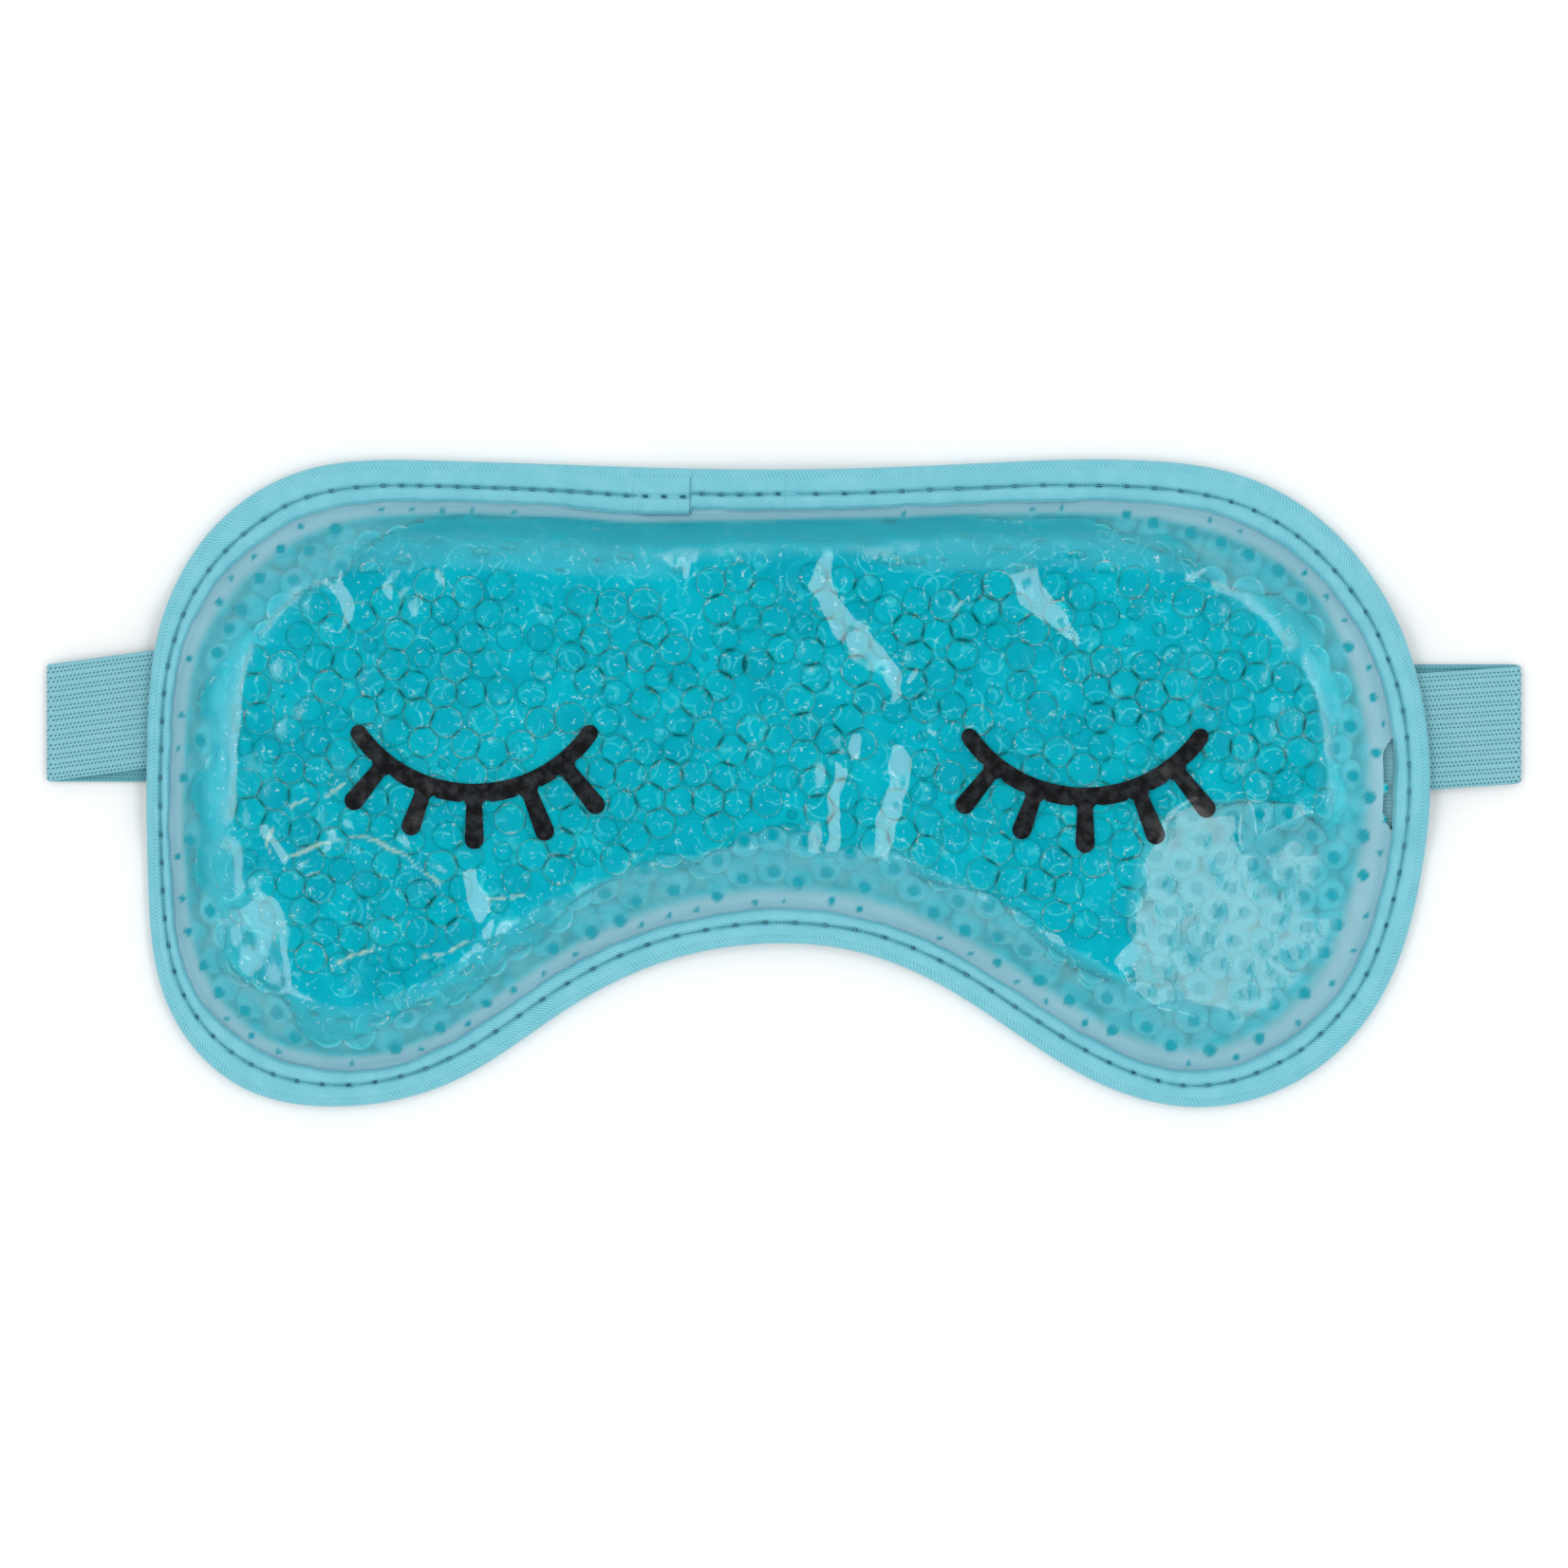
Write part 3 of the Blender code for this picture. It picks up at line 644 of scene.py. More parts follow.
def ink_material():
    m = Shade("print_ink")
    flat = m.attribute("flat", True)
    speck = m.noise(flat, 0.6, 3.0, 0.6)
    colour = m.mix(m.ramp(speck, 0.4, 0.7), INK, linear(38, 41, 44))
    rough = m.ramp(speck, 0.3, 0.7, 0.1, 0.2)
    normal = m.bump(m.noise(flat, 0.8, 2.0), 0.1, 0.05 * MM)
    return m.finish(Base_Color=colour, Roughness=rough, Specular_IOR_Level=0.25, Normal=normal)


def backing_material():
    """Knitted backing with fine ribs across the mask."""
    m = Shade("backing_fabric")
    flat = m.attribute("flat", True)
    x, y, _ = m.split(flat)
    rib = m.wave(y, 0.62)
    loop = m.wave(x, 0.45)
    loop = m.times(loop, m.ramp(rib, -0.6, 0.6))
    fuzz = m.noise(flat, 1.6, 4.0, 0.65)
    tone = m.noise(flat, 0.05, 3.0)
    colour = m.mix(m.ramp(rib, -1.0, 1.0), linear(122, 184, 196), BACKING)
    colour = m.mix(m.ramp(fuzz, 0.35, 0.7, 0.0, 0.4), colour, linear(158, 212, 222))
    colour = m.mix(m.ramp(tone, 0.4, 0.6, 0.0, 0.2), colour, linear(128, 190, 202))
    height = m.plus(m.times(rib, 0.6), m.times(loop, 0.3))
    height = m.plus(height, m.times(fuzz, 0.8))
    normal = m.bump(height, 0.6, 0.12 * MM)
    return m.finish(Base_Color=colour, Roughness=0.9, Sheen_Weight=0.3, Normal=normal)


# ---------------------------------------------------------------- films, backing and beads

GRID_STEP = 0.5


def inside_grid(step, edge):
    """Grid of points inside the mask out to an edge inset. Points on the rim are moved onto it."""
    xs, ys = np.arange(-HALF_X, HALF_X + 1.0, step), np.arange(-HALF_Y, HALF_Y, step)
    gx, gy = np.meshgrid(xs, ys, indexing="ij")
    q = np.column_stack([gx.ravel(), gy.ravel()])
    index, d = rim.nearest(q)
    limit = edge[index]
    ok = (d > limit - 0.45 * step).reshape(gx.shape)
    cell = ok[:-1, :-1] & ok[1:, :-1] & ok[1:, 1:] & ok[:-1, 1:]
    count = np.zeros(gx.shape, int)
    for a, b in ((0, 0), (1, 0), (1, 1), (0, 1)):
        count[a : a + cell.shape[0], b : b + cell.shape[1]] += cell
    used = count.ravel() > 0
    on_rim = used & (count.ravel() < 4)
    q[on_rim] += rim.inward[index[on_rim]] * (limit[on_rim] - d[on_rim])[:, None]
    number = np.full(len(q), -1)
    number[used] = np.arange(used.sum())
    number = number.reshape(gx.shape)
    faces = np.stack([number[:-1, :-1], number[1:, :-1], number[1:, 1:], number[:-1, 1:]], axis=-1)[cell]
    return q[used], faces


def wetness(q, inner, index):
    """1 where liquid joins the beads to the film, 0 in the dry margin."""
    ragged = 2.2 * np.sin(q[:, 0] * 0.31 + 1.3 * np.sin(q[:, 1] * 0.23)) + 1.4 * np.sin(q[:, 1] * 0.45 + 2.0)
    wet = inner - rim.margin[index] + 0.55 * ragged * np.minimum(1.0, rim.margin[index] / 6.0)
    slack = ((q[:, 0] - 74.0) / 18.0) ** 2 + ((q[:, 1] + 19.0) / 16.5) ** 2
    return np.minimum(wet, 12.0 * (slack - 1.0) + 0.5 * ragged)


def bead_places(pitch, least_inner, seed):
    """Centres of one layer of beads: a loose hexagonal packing, spread until none are too close."""
    rng = np.random.RandomState(seed)
    q = []
    for k, y in enumerate(np.arange(-HALF_Y, HALF_Y, pitch * math.sqrt(0.75))):
        xs = np.arange(-HALF_X, HALF_X, pitch) + (0.5 * pitch if k % 2 else 0.0)
        q += [(x, y) for x in xs]
    q = np.array(q) + rng.normal(0, 0.34 * pitch, (len(q), 2))
    q = q[film_base(q)[1] > least_inner - 0.5]
    for _ in range(24):
        gap = q[:, None, :] - q[None, :, :]
        far = np.linalg.norm(gap, axis=2) + np.eye(len(q)) * 1e3
        push = np.clip(pitch * 0.97 - far, 0.0, None) * 0.35
        q = q + (gap / far[:, :, None] * push[:, :, None]).sum(1)
        index, d = rim.nearest(q)
        short = np.clip(least_inner + rim.width[index] - d, 0.0, None)
        q = q + rim.inward[index] * short[:, None]
    return q


def flattened(ball, power):
    """A unit ball's points, flattened by a power below 1 towards a cushion shape."""
    reach = np.linalg.norm(ball[:, :2], axis=1)
    wider = np.where(reach > 1e-6, np.maximum(reach, 1e-6) ** (power - 1.0), 1.0)
    return np.column_stack([ball[:, :2] * wider[:, None], np.sign(ball[:, 2]) * np.abs(ball[:, 2]) ** power])


def bead_mesh(name, q, top, radius, normal, wet, material, segments, rings):
    """One mesh of beads. Their vertices keep the direction from the bead's middle: touch, up the film's
    normal, and up, straight up."""
    theta = (np.pi * np.arange(1, rings) / rings)[:, None]
    phi = (2 * np.pi * np.arange(segments) / segments)[None, :]
    spherical = (np.sin(theta) * np.cos(phi), np.sin(theta) * np.sin(phi), np.cos(theta))
    body = np.stack(np.broadcast_arrays(*spherical), axis=-1).reshape(-1, 3)
    ball = np.vstack([[0, 0, 1.0], body, [0, 0, -1.0]])
    squashed, round_one = flattened(ball, WET_SHAPE), flattened(ball, DRY_SHAPE)
    unit = np.where(wet[:, None, None] > 0.5, squashed[None], round_one[None])
    level_up = np.sqrt(np.clip(1.0 - (unit[:, :, :2] ** 2).sum(2), 0, 1)) * np.sign(ball[:, 2])[None]
    silhouette = np.concatenate([unit[:, :, :2], level_up[:, :, None]], axis=2)
    n, size = len(q), len(ball)
    last = size - 1
    fan = np.arange(segments)
    upper = np.column_stack([0 * fan, 1 + fan, 1 + (fan + 1) % segments])
    lower = last - np.column_stack([0 * fan, segments - (fan + 1) % segments, segments - fan])
    squares = quads(rings - 1, segments, False, True) + 1
    faces = []
    for part in (np.vstack([upper, lower]), squares):
        faces += (part[None] + (np.arange(n) * size)[:, None, None]).reshape(-1, part.shape[1]).tolist()
    centre = np.column_stack([q, top - radius])
    squeeze = 1.0 + np.random.RandomState(n).uniform(-0.05, 0.03, (n, 1, 3))
    points = centre[:, None, :] + unit * radius[:, None, None] * squeeze
    # the film's own frame, where z is its normal
    z = normal
    x = np.cross(np.array([0.0, 1.0, 0.0]), z)
    x /= np.linalg.norm(x, axis=1)[:, None]
    y = np.cross(z, x)
    touch = np.stack([(unit * axis[:, None, :]).sum(2) for axis in (x, y, z)], axis=-1)
    flat = points.copy()
    flat[:, :, 2] += RNG.uniform(0, 200, (n, 1))
    attributes = {"touch": touch, "up": silhouette, "wet": np.repeat(wet, size), "flat": flat}
    return make_mesh(name, points, faces, material, attributes)


def film_normals(q):
    step = 0.5
    dx = (film_base(q + [step, 0])[0] - film_base(q - [step, 0])[0]) / (2 * step)
    dy = (film_base(q + [0, step])[0] - film_base(q - [0, step])[0]) / (2 * step)
    n = np.column_stack([-dx, -dy, np.ones(len(q))])
    return n / np.linalg.norm(n, axis=1)[:, None]


def seat(q, radius, wet):
    """The highest level of each bead's middle at which all of it stays under the film."""
    highest = np.full(len(q), 1e3)
    power = np.where(wet > 0.5, WET_SHAPE, DRY_SHAPE)
    for share in (0.0, 0.5, 0.8, 0.95):
        cap = radius * (1.0 - share ** (2.0 / power)) ** (0.5 * power)
        for a in np.arange(8) * math.pi / 4:
            aside = q + share * radius[:, None] * np.array([math.cos(a), math.sin(a)])
            highest = np.minimum(highest, film_base(aside)[0] - FILM_CLEARANCE - cap)
    return highest


def make_beads(material):
    """The upper layer, which touches the film, and the layer under it where the mask is full."""
    q = bead_places(5.05, 2.1, 11)
    base, inner, d, index = film_base(q)
    normal = film_normals(q)
    floor = back_height(d, index) + 0.1
    wet = (wetness(q, inner, index) > 0).astype(float)
    room = 0.5 * (base - FILM_CLEARANCE - floor)
    radius = np.clip(room, 1.0, BEAD_RADIUS) * RNG.uniform(0.93, 1.0, len(q))
    for _ in range(3):
        middle = seat(q, radius, wet)
        radius = np.clip(np.minimum(radius, 0.5 * (middle + radius - floor) + 0.15), 0.8, BEAD_RADIUS)
    top = seat(q, radius, wet) + radius
    left = q[:, 0] < 0
    made = []
    for name, side in (("beads_left", left), ("beads_right", ~left)):
        upper = (values[side] for values in (q, top, radius, normal, wet))
        made.append(bead_mesh(name, *upper, material, 18, 12))

    low = bead_places(5.9, 8.5, 23)
    base, inner, d, index = film_base(low)
    full = (base - back_height(d, index)) > 8.0
    low, inner, d, index = low[full], inner[full], d[full], index[full]
    sizes = np.full(len(low), 2.65)
    top = back_height(d, index) + 2 * sizes + RNG.uniform(0.05, 0.4, len(low))
    straight = np.tile([0.0, 0.0, 1.0], (len(low), 1))
    wet_low = (wetness(low, inner, index) > -1.5).astype(float)
    made.append(bead_mesh("beads_deep", low, top, sizes, straight, wet_low, material, 12, 8))
    return made, q + normal[:, :2] * radius[:, None], radius, wet


def make_gel(material):
    """The liquid between the beads, a little below the film."""
    q, faces = inside_grid(0.9, rim.width + 1.2)
    base, inner, _, index = film_base(q)
    wet = wetness(q, inner, index)
    faces = faces[(wet[faces] > -1.2).all(axis=1)]
    used = np.unique(faces)
    number = np.full(len(q), -1)
    number[used] = np.arange(len(used))
    q, base, inner, wet = q[used], base[used], inner[used], wet[used]
    z = base - FILM_CLEARANCE - GEL_DEPTH * smooth(inner / 3.0) - 1.5 * smooth((0.8 - wet) / 2.0)
    points = np.column_stack([q, z])
    straight = np.tile([0.0, 0.0, 1.0], (len(q), 1))
    aside = np.tile([1.0, 0.0, 0.3], (len(q), 1))
    attributes = {"flat": points, "touch": aside, "up": straight, "wet": np.ones(len(q))}
    return make_mesh("gel_between_beads", points, number[faces], material, attributes)


def film_edge(extra):
    """How far inside the outline a film ends: under the binding, but short of its lip at the right."""
    pulled = smooth((13.0 - np.abs(rim.p[:, 1])) / 8.0) * (rim.p[:, 0] > 90)
    return FILM_EDGE + extra + pulled * (rim.width + 1.9 - FILM_EDGE)


def crease_highlight_lines(q):
    """1 on the thin lines along fine creases in the film, where a warm highlight is painted."""
    warm_highlight = np.zeros(len(q))
    t = np.linspace(0.0, 1.0, 160)
    for line in FINE_CREASES:
        knots = np.linspace(0.0, 1.0, len(line))
        along = np.column_stack([np.interp(t, knots, [k[i] for k in line]) for i in range(2)])
        for i in range(2):
            padded = np.concatenate([np.full(8, along[0, i]), along[:, i], np.full(8, along[-1, i])])
            along[:, i] = np.convolve(padded, np.ones(17) / 17, "valid")
        along += 0.08 * np.column_stack([np.sin(60 * t), np.cos(47 * t)])
        low, high = along.min(0) - 1.5, along.max(0) + 1.5
        near = np.nonzero(((q > low) & (q < high)).all(axis=1))[0]
        far = np.linalg.norm(q[near][:, None] - along[None], axis=2)
        width = (0.08 + 0.14 * np.sin(19 * t + 1.0))[far.argmin(1)]
        warm_highlight[near] = np.maximum(warm_highlight[near], 1.0 - smooth((far.min(1) - width) / 0.34))
    return warm_highlight


def make_film_front(material, beads, radius, bead_wet):
    """The face film, drawn over the beads, with its slack slopes and creases."""
    q, faces = inside_grid(GRID_STEP, film_edge(0.0))
    base, inner, _, index = film_base(q)
    order = np.argsort(q[:, 0])
    xs = q[order, 0]

    def beside(centre, reach):
        return order[np.searchsorted(xs, centre[0] - reach) : np.searchsorted(xs, centre[0] + reach)]

    bump = np.zeros(len(q))
    _, bead_inner, _, bead_index = film_base(beads)
    knee = bead_inner - slope_width(bead_index)
    for centre, size, wet, past in zip(beads, radius, bead_wet, knee):
        near = beside(centre, 4.5)
        far2 = ((q[near] - centre) ** 2).sum(1)
        amount = (0.04 if wet else 0.12) + 0.07 * math.exp(-((past / 1.8) ** 2))
        bump[near] += amount * np.exp(-far2 / (2 * (0.45 * size) ** 2))
    settled = smooth((inner - 0.5) / 3.0)
    x, y = q.T
    slack = 0.05 * np.sin(x * 0.45 + 1.7 * np.sin(y * 0.21)) * np.sin(y * 0.37 + 0.8)
    z = base + (bump + slack + creases(q)) * settled

    # milky in the weld, less so over the dry beads, and clear where liquid or a bead touches it; near the
    # wet zone's edge it is also given painted teal fill light, to lighten the shade on the beads under the
    # steep film
    right = smooth((x - 86.0) / 8.0)
    fade = 1.8 + 0.5 * rim.margin[index] + 1.5 * right
    haze = 0.85 * (1.0 - smooth((inner - 0.7 - 1.2 * right) / fade))
    dry = 1.0 - smooth((wetness(q, inner, index) + 1.2) / 1.8)
    by_edge = 1.0 - smooth((inner - 4.0) / 5.0)
    # painted fill light: teal, cloudy film near the edge of the wet zone
    edge_fill_light = (1.0 - dry) * by_edge * smooth(inner - 1.0)
    haze = np.maximum(np.maximum(haze, 0.42 * dry), 0.58 * edge_fill_light)
    contact_and_fill_light = edge_fill_light.copy()
    for centre, size, wet in zip(beads, radius, bead_wet):
        if wet:
            continue
        near = beside(centre, 2.0)
        far = np.linalg.norm(q[near] - centre, axis=1)
        disc = 1.0 - smooth((far - 0.34 * size) / (0.13 * size))
        contact_and_fill_light[near] = np.maximum(contact_and_fill_light[near], disc)
        haze[near] = np.maximum(haze[near], 0.75 * disc)
    # crinkled along the knees at both sides, and a little at the edge
    past = inner - slope_width(index)
    crinkled = np.exp(-(((past + 1.2) / 3.0) ** 2)) * rim.inward[index, 0] ** 2 * (y > -22)
    haze = np.maximum(haze, 0.52 * crinkled)
    crinkled = np.maximum(crinkled, 0.7 * by_edge)
    # painted warm highlights along the fine creases, which also cloud the film a little
    warm_highlight = crease_highlight_lines(q)
    points = np.column_stack([q, z])
    attributes = {
        "flat": points,
        "haze": np.maximum(haze, 0.5 * warm_highlight),
        "slack": 0.06 + 0.26 * dry,
        "contact_and_fill_light": contact_and_fill_light,
        "crinkled": crinkled,
        "warm_highlight": warm_highlight,
    }
    return make_mesh("film_front", points, faces, material, attributes), q, z


def make_sheet(name, edge_inset, height, material, extra=lambda q, d, index: {}):
    """A sheet that lies inside the binding."""
    q, faces = inside_grid(1.0, edge_inset)
    index, d = rim.nearest(q)
    points = np.column_stack([q, height(d, index)])
    return make_mesh(name, points, faces, material, {"flat": points, **extra(q, d, index)})


# ---------------------------------------------------------------- binding and seams


def seam_marks():
    """Where the needle goes through, as distances along the outline."""
    marks, s = [], 1.0
    while s < rim.length - 1.5:
        marks.append(s)
        x, y = rim.p[int(s / rim.length * len(rim.s)) % len(rim.s)]
        s += STITCH_AT_JOIN if y > 0 and -62 < x < 2 else STITCH
    return np.array(marks)


MARKS = seam_marks()


def make_binding(material):
    """Satin bias tape folded over the rim: a flat face, the stitched groove and a rolled inner lip."""
    n = 1400
    tape_rim = Rim(n)
    s = tape_rim.s
    top_lap = (tape_rim.p[:, 1] > 0) & (tape_rim.p[:, 0] < LAP_X) & (tape_rim.p[:, 0] > LAP_X - LAP_LENGTH)
    lap = LAP_STEP * top_lap * smooth((tape_rim.p[:, 0] - (LAP_X - LAP_LENGTH)) / 2.0)
    # a line of painted shade along the lap join
    join = 0.62 * (np.abs(tape_rim.p[:, 0] - LAP_X - 0.15) < 0.24) * (tape_rim.p[:, 1] > 0)
    gap = np.abs(s[:, None] - MARKS[None, :])
    gap = np.minimum(gap, tape_rim.length - gap).min(1)
    order = np.searchsorted(MARKS, s)
    phase = (s - MARKS[np.clip(order - 1, 0, len(MARKS) - 1)]) / STITCH
    puff = np.sin(np.pi * np.clip(phase, 0, 1))
    w = tape_rim.width + 0.16 * noise1(s, tape_rim.length, 3, 90) + 0.10 * noise1(s, tape_rim.length, 4, 260)
    seam = SEAM_SHARE * tape_rim.width + 0.10 * noise1(s, tape_rim.length, 5, 70)
    high = RIM_TOP + lap + 0.10 * noise1(s, tape_rim.length, 6, 50)
    lift_roll = 0.42 + 0.16 * noise1(s, tape_rim.length, 8, 120)

    rows, kinds = [], []

    def row(inset, height, across, pit=0.0):
        rows.append((inset * np.ones(n), height * np.ones(n)))
        kinds.append((across * np.ones(n), pit * np.ones(n)))

    # round the outer edge, from the underside to the face
    for a in np.linspace(-0.5 * np.pi, 0.5 * np.pi, 11):
        reach = 1.3 * (1.0 - math.cos(a) ** 0.85)
        row(reach, 0.5 * high + 0.5 * high * math.sin(a), 2.6 * (a / np.pi + 0.5) - 2.0)
    # the face, out to the inner lip
    for k in range(1, 34):
        u = k / 33.0
        inset = 1.3 + (w - 1.3) * u
        x = (inset - seam) / 0.34
        groove = np.exp(-(x**2))
        past = np.clip((inset - seam) / (w - seam), 0.0, 1.0)
        before = np.clip(inset / seam, 0.0, 1.0)
        rounded = lift_roll * np.sin(np.pi * past**0.8) ** 0.8
        body = 0.16 * np.sin(np.pi * before) * (0.7 + 0.5 * puff)
        pit = np.exp(-(x**2) * 1.1) * np.exp(-((gap / 0.6) ** 4))
        crimp = 0.07 * np.sin(2 * np.pi * phase) * np.exp(-np.abs(inset - seam) / 1.1)
        drop = 0.55 * smooth((past - 0.80) / 0.20)
        height = high + body + rounded - 0.42 * groove - 0.5 * pit + crimp - drop
        row(inset, height, inset + 0.6 + 20.0 * top_lap, np.maximum(pit, join))
    row(w + 0.05, LIP_TOP_INSIDE + 0.18, w + 1.2)
    row(w - 0.12, LIP_TOP_INSIDE, w + 1.5)
    row(1.9, LIP_TOP_INSIDE, w + 3.5)
    row(1.5, 0.5 * (LIP_TOP_INSIDE + LIP_BOTTOM_INSIDE), w + 4.5)
    row(1.9, LIP_BOTTOM_INSIDE, w + 5.5)
    row(w - 0.12, LIP_BOTTOM_INSIDE, w + 8.0)
    row(w + 0.05, 0.45, w + 8.4)
    for k in range(12):
        u = 1.0 - (k + 0.5) / 12.0
        inset = 1.4 + (w - 1.4) * u
        x = (inset - seam) / 0.4
        pit = np.exp(-(x**2) * 1.6) * np.exp(-((gap / 0.42) ** 2))
        row(inset, 0.03 + 0.28 * np.exp(-(x**2)) + 0.2 * pit, -inset - 3.0, pit)

    columns = len(rows)
    points, tape = np.zeros((n, columns, 3)), np.zeros((n, columns, 3))
    for k, ((inset, height), (across, pit)) in enumerate(zip(rows, kinds)):
        points[:, k, :2] = tape_rim.p + tape_rim.inward * inset[:, None]
        points[:, k, 2] = tape_rim.level(inset) + height
        tape[:, k] = np.column_stack([s, across, pit])
    faces = quads(n, columns, True, True)[:, ::-1]
    return make_mesh("edge_binding_tape", points, faces, material, {"tape": tape})


def rings_round(line, radius, sides):
    """Rings of points round a thread, and the angles in them."""
    direction = np.gradient(line, axis=0)
    direction /= np.linalg.norm(direction, axis=1)[:, None]
    across = np.cross(direction, [0, 0, 1.0])
    across /= np.linalg.norm(across, axis=1)[:, None]
    upward = np.cross(across, direction)
    turn = 2 * np.pi * np.arange(sides) / sides
    ring = np.cos(turn)[None, :, None] * across[:, None, :]
    ring = ring + np.sin(turn)[None, :, None] * upward[:, None, :]
    return line[:, None, :] + ring * np.reshape(radius, (-1, 1, 1)), turn


def make_seam(name, material, top):
    """Lock stitches: each one lies in the groove and dips into a needle hole at both ends."""
    sides, steps = 7, 9
    groove = rim.p + rim.inward * SEAM_SHARE * rim.width[:, None]
    u = np.linspace(0.06, 0.94, steps)
    dip = 0.42 * (np.abs(2 * u - 1) ** 4)
    thick = STITCH_RADIUS * (1.0 - 0.35 * np.abs(2 * u - 1) ** 6)
    blocks, faces, tapes = [], [], []
    for start, end in zip(MARKS, np.append(MARKS[1:], MARKS[-1] + 3.5)):
        s = (start + (end - start) * u) % rim.length
        where = s / rim.length * len(rim.s)
        i = where.astype(int) % len(rim.s)
        after, part = (i + 1) % len(rim.s), (where % 1.0)[:, None]
        level = rim.level(SEAM_SHARE * rim.width[i], i)
        z = level + RIM_TOP - 0.28 - dip if top else level + 0.24 + dip
        line = np.column_stack([groove[i] * (1.0 - part) + groove[after] * part, z])
        rings, turn = rings_round(line, thick, sides)
        base = len(blocks) * (steps * sides + 2)
        first = base + steps * sides
        faces += (quads(steps, sides, False, True) + base).tolist()
        faces += [(base + (j + 1) % sides, base + j, first) for j in range(sides)]
        faces += [(first - sides + j, first - sides + (j + 1) % sides, first + 1) for j in range(sides)]
        tape = np.zeros((steps * sides + 2, 3))
        tape[:-2, 0] = np.repeat(s, sides)
        tape[:-2, 1] = np.tile(turn * STITCH_RADIUS, steps)
        blocks.append(np.vstack([rings.reshape(-1, 3), line[0], line[-1]]))
        tapes.append(tape)
    return make_mesh(name, np.vstack(blocks), faces, material, {"tape": np.vstack(tapes)})


# ---------------------------------------------------------------- prints


def eye_outline():
    """The print's outline: along the top of the arc, then back along its underside and the lashes."""

    def polar(angle, radius):
        a = math.radians(angle)
        return np.array([radius * math.sin(a), EYE_RADIUS + 0.5 * EYE_STROKE - radius * math.cos(a)])

    def lash(angle, length):
        out = polar(angle, EYE_RADIUS + 1.0) - polar(angle, EYE_RADIUS)
        out /= np.linalg.norm(out)
        across = np.array([out[1], -out[0]])
        root, tip = polar(angle, EYE_RADIUS + EYE_STROKE - 0.3), polar(angle, length) - out * LASH_HALF
        wide = 1.12 * LASH_HALF
        turn = np.radians(np.linspace(90, -90, 11))
        rounded = [tip + wide * (across * -math.sin(a) + out * math.cos(a)) for a in turn]
        root_half = 0.92 * LASH_HALF
        foot = [root - across * (root_half + 0.5), root + out * 0.7 - across * root_half]
        back = [root + out * 0.7 + across * root_half, root + across * (root_half + 0.5)]
        return foot + rounded + back

    start, end = -EYE_HALF_ANGLE, EYE_HALF_ANGLE
    steps = 40
    half = 0.5 * EYE_STROKE

    def thick(angle):
        return half * (1.0 + 0.06 * math.cos(3.0 * math.radians(angle)))

    middle = EYE_RADIUS + half
    top = [polar(a, middle - thick(a)) for a in np.linspace(start, end, steps)]

    def cap(angle, sign):
        centre = polar(angle, middle)
        out = polar(angle, middle + 1.0) - centre
        side = np.array([-out[1], out[0]]) * sign
        r = thick(angle)
        turns = np.linspace(0.3, math.pi - 0.3, 7)
        return [centre + r * (-out * math.cos(t) + side * math.sin(t)) for t in turns]

    # the lower side, walked back from the right tip to the left one
    under = cap(end, 1)
    cursor = end
    for angle, length in sorted(LASHES, reverse=True):
        gap_angle = math.degrees((LASH_HALF + 0.45) / middle)
        for a in np.arange(cursor, angle + gap_angle, -3.0):
            under.append(polar(a, middle + thick(a)))
        under += lash(angle, length)
        cursor = angle - gap_angle - 1.0
    for a in np.arange(cursor, start, -3.0):
        under.append(polar(a, middle + thick(a)))
    under += list(reversed(cap(start, -1)))
    return np.array(top + under)


def height_lookup(q, z):
    """A function that gives the film's height anywhere, from its grid."""
    x0, y0 = q[:, 0].min(), q[:, 1].min()
    step = GRID_STEP
    nx = int((q[:, 0].max() - x0) / step) + 3
    ny = int((q[:, 1].max() - y0) / step) + 3
    table = np.full((nx, ny), z.max())
    i = np.rint((q[:, 0] - x0) / step).astype(int)
    j = np.rint((q[:, 1] - y0) / step).astype(int)
    table[i, j] = z

    def at(p):
        u, v = (p[:, 0] - x0) / step, (p[:, 1] - y0) / step
        a, b = np.floor(u).astype(int), np.floor(v).astype(int)
        fu, fv = u - a, v - b
        return (
            table[a, b] * (1 - fu) * (1 - fv)
            + table[a + 1, b] * fu * (1 - fv)
            + table[a, b + 1] * (1 - fu) * fv
            + table[a + 1, b + 1] * fu * fv
        )

    return at


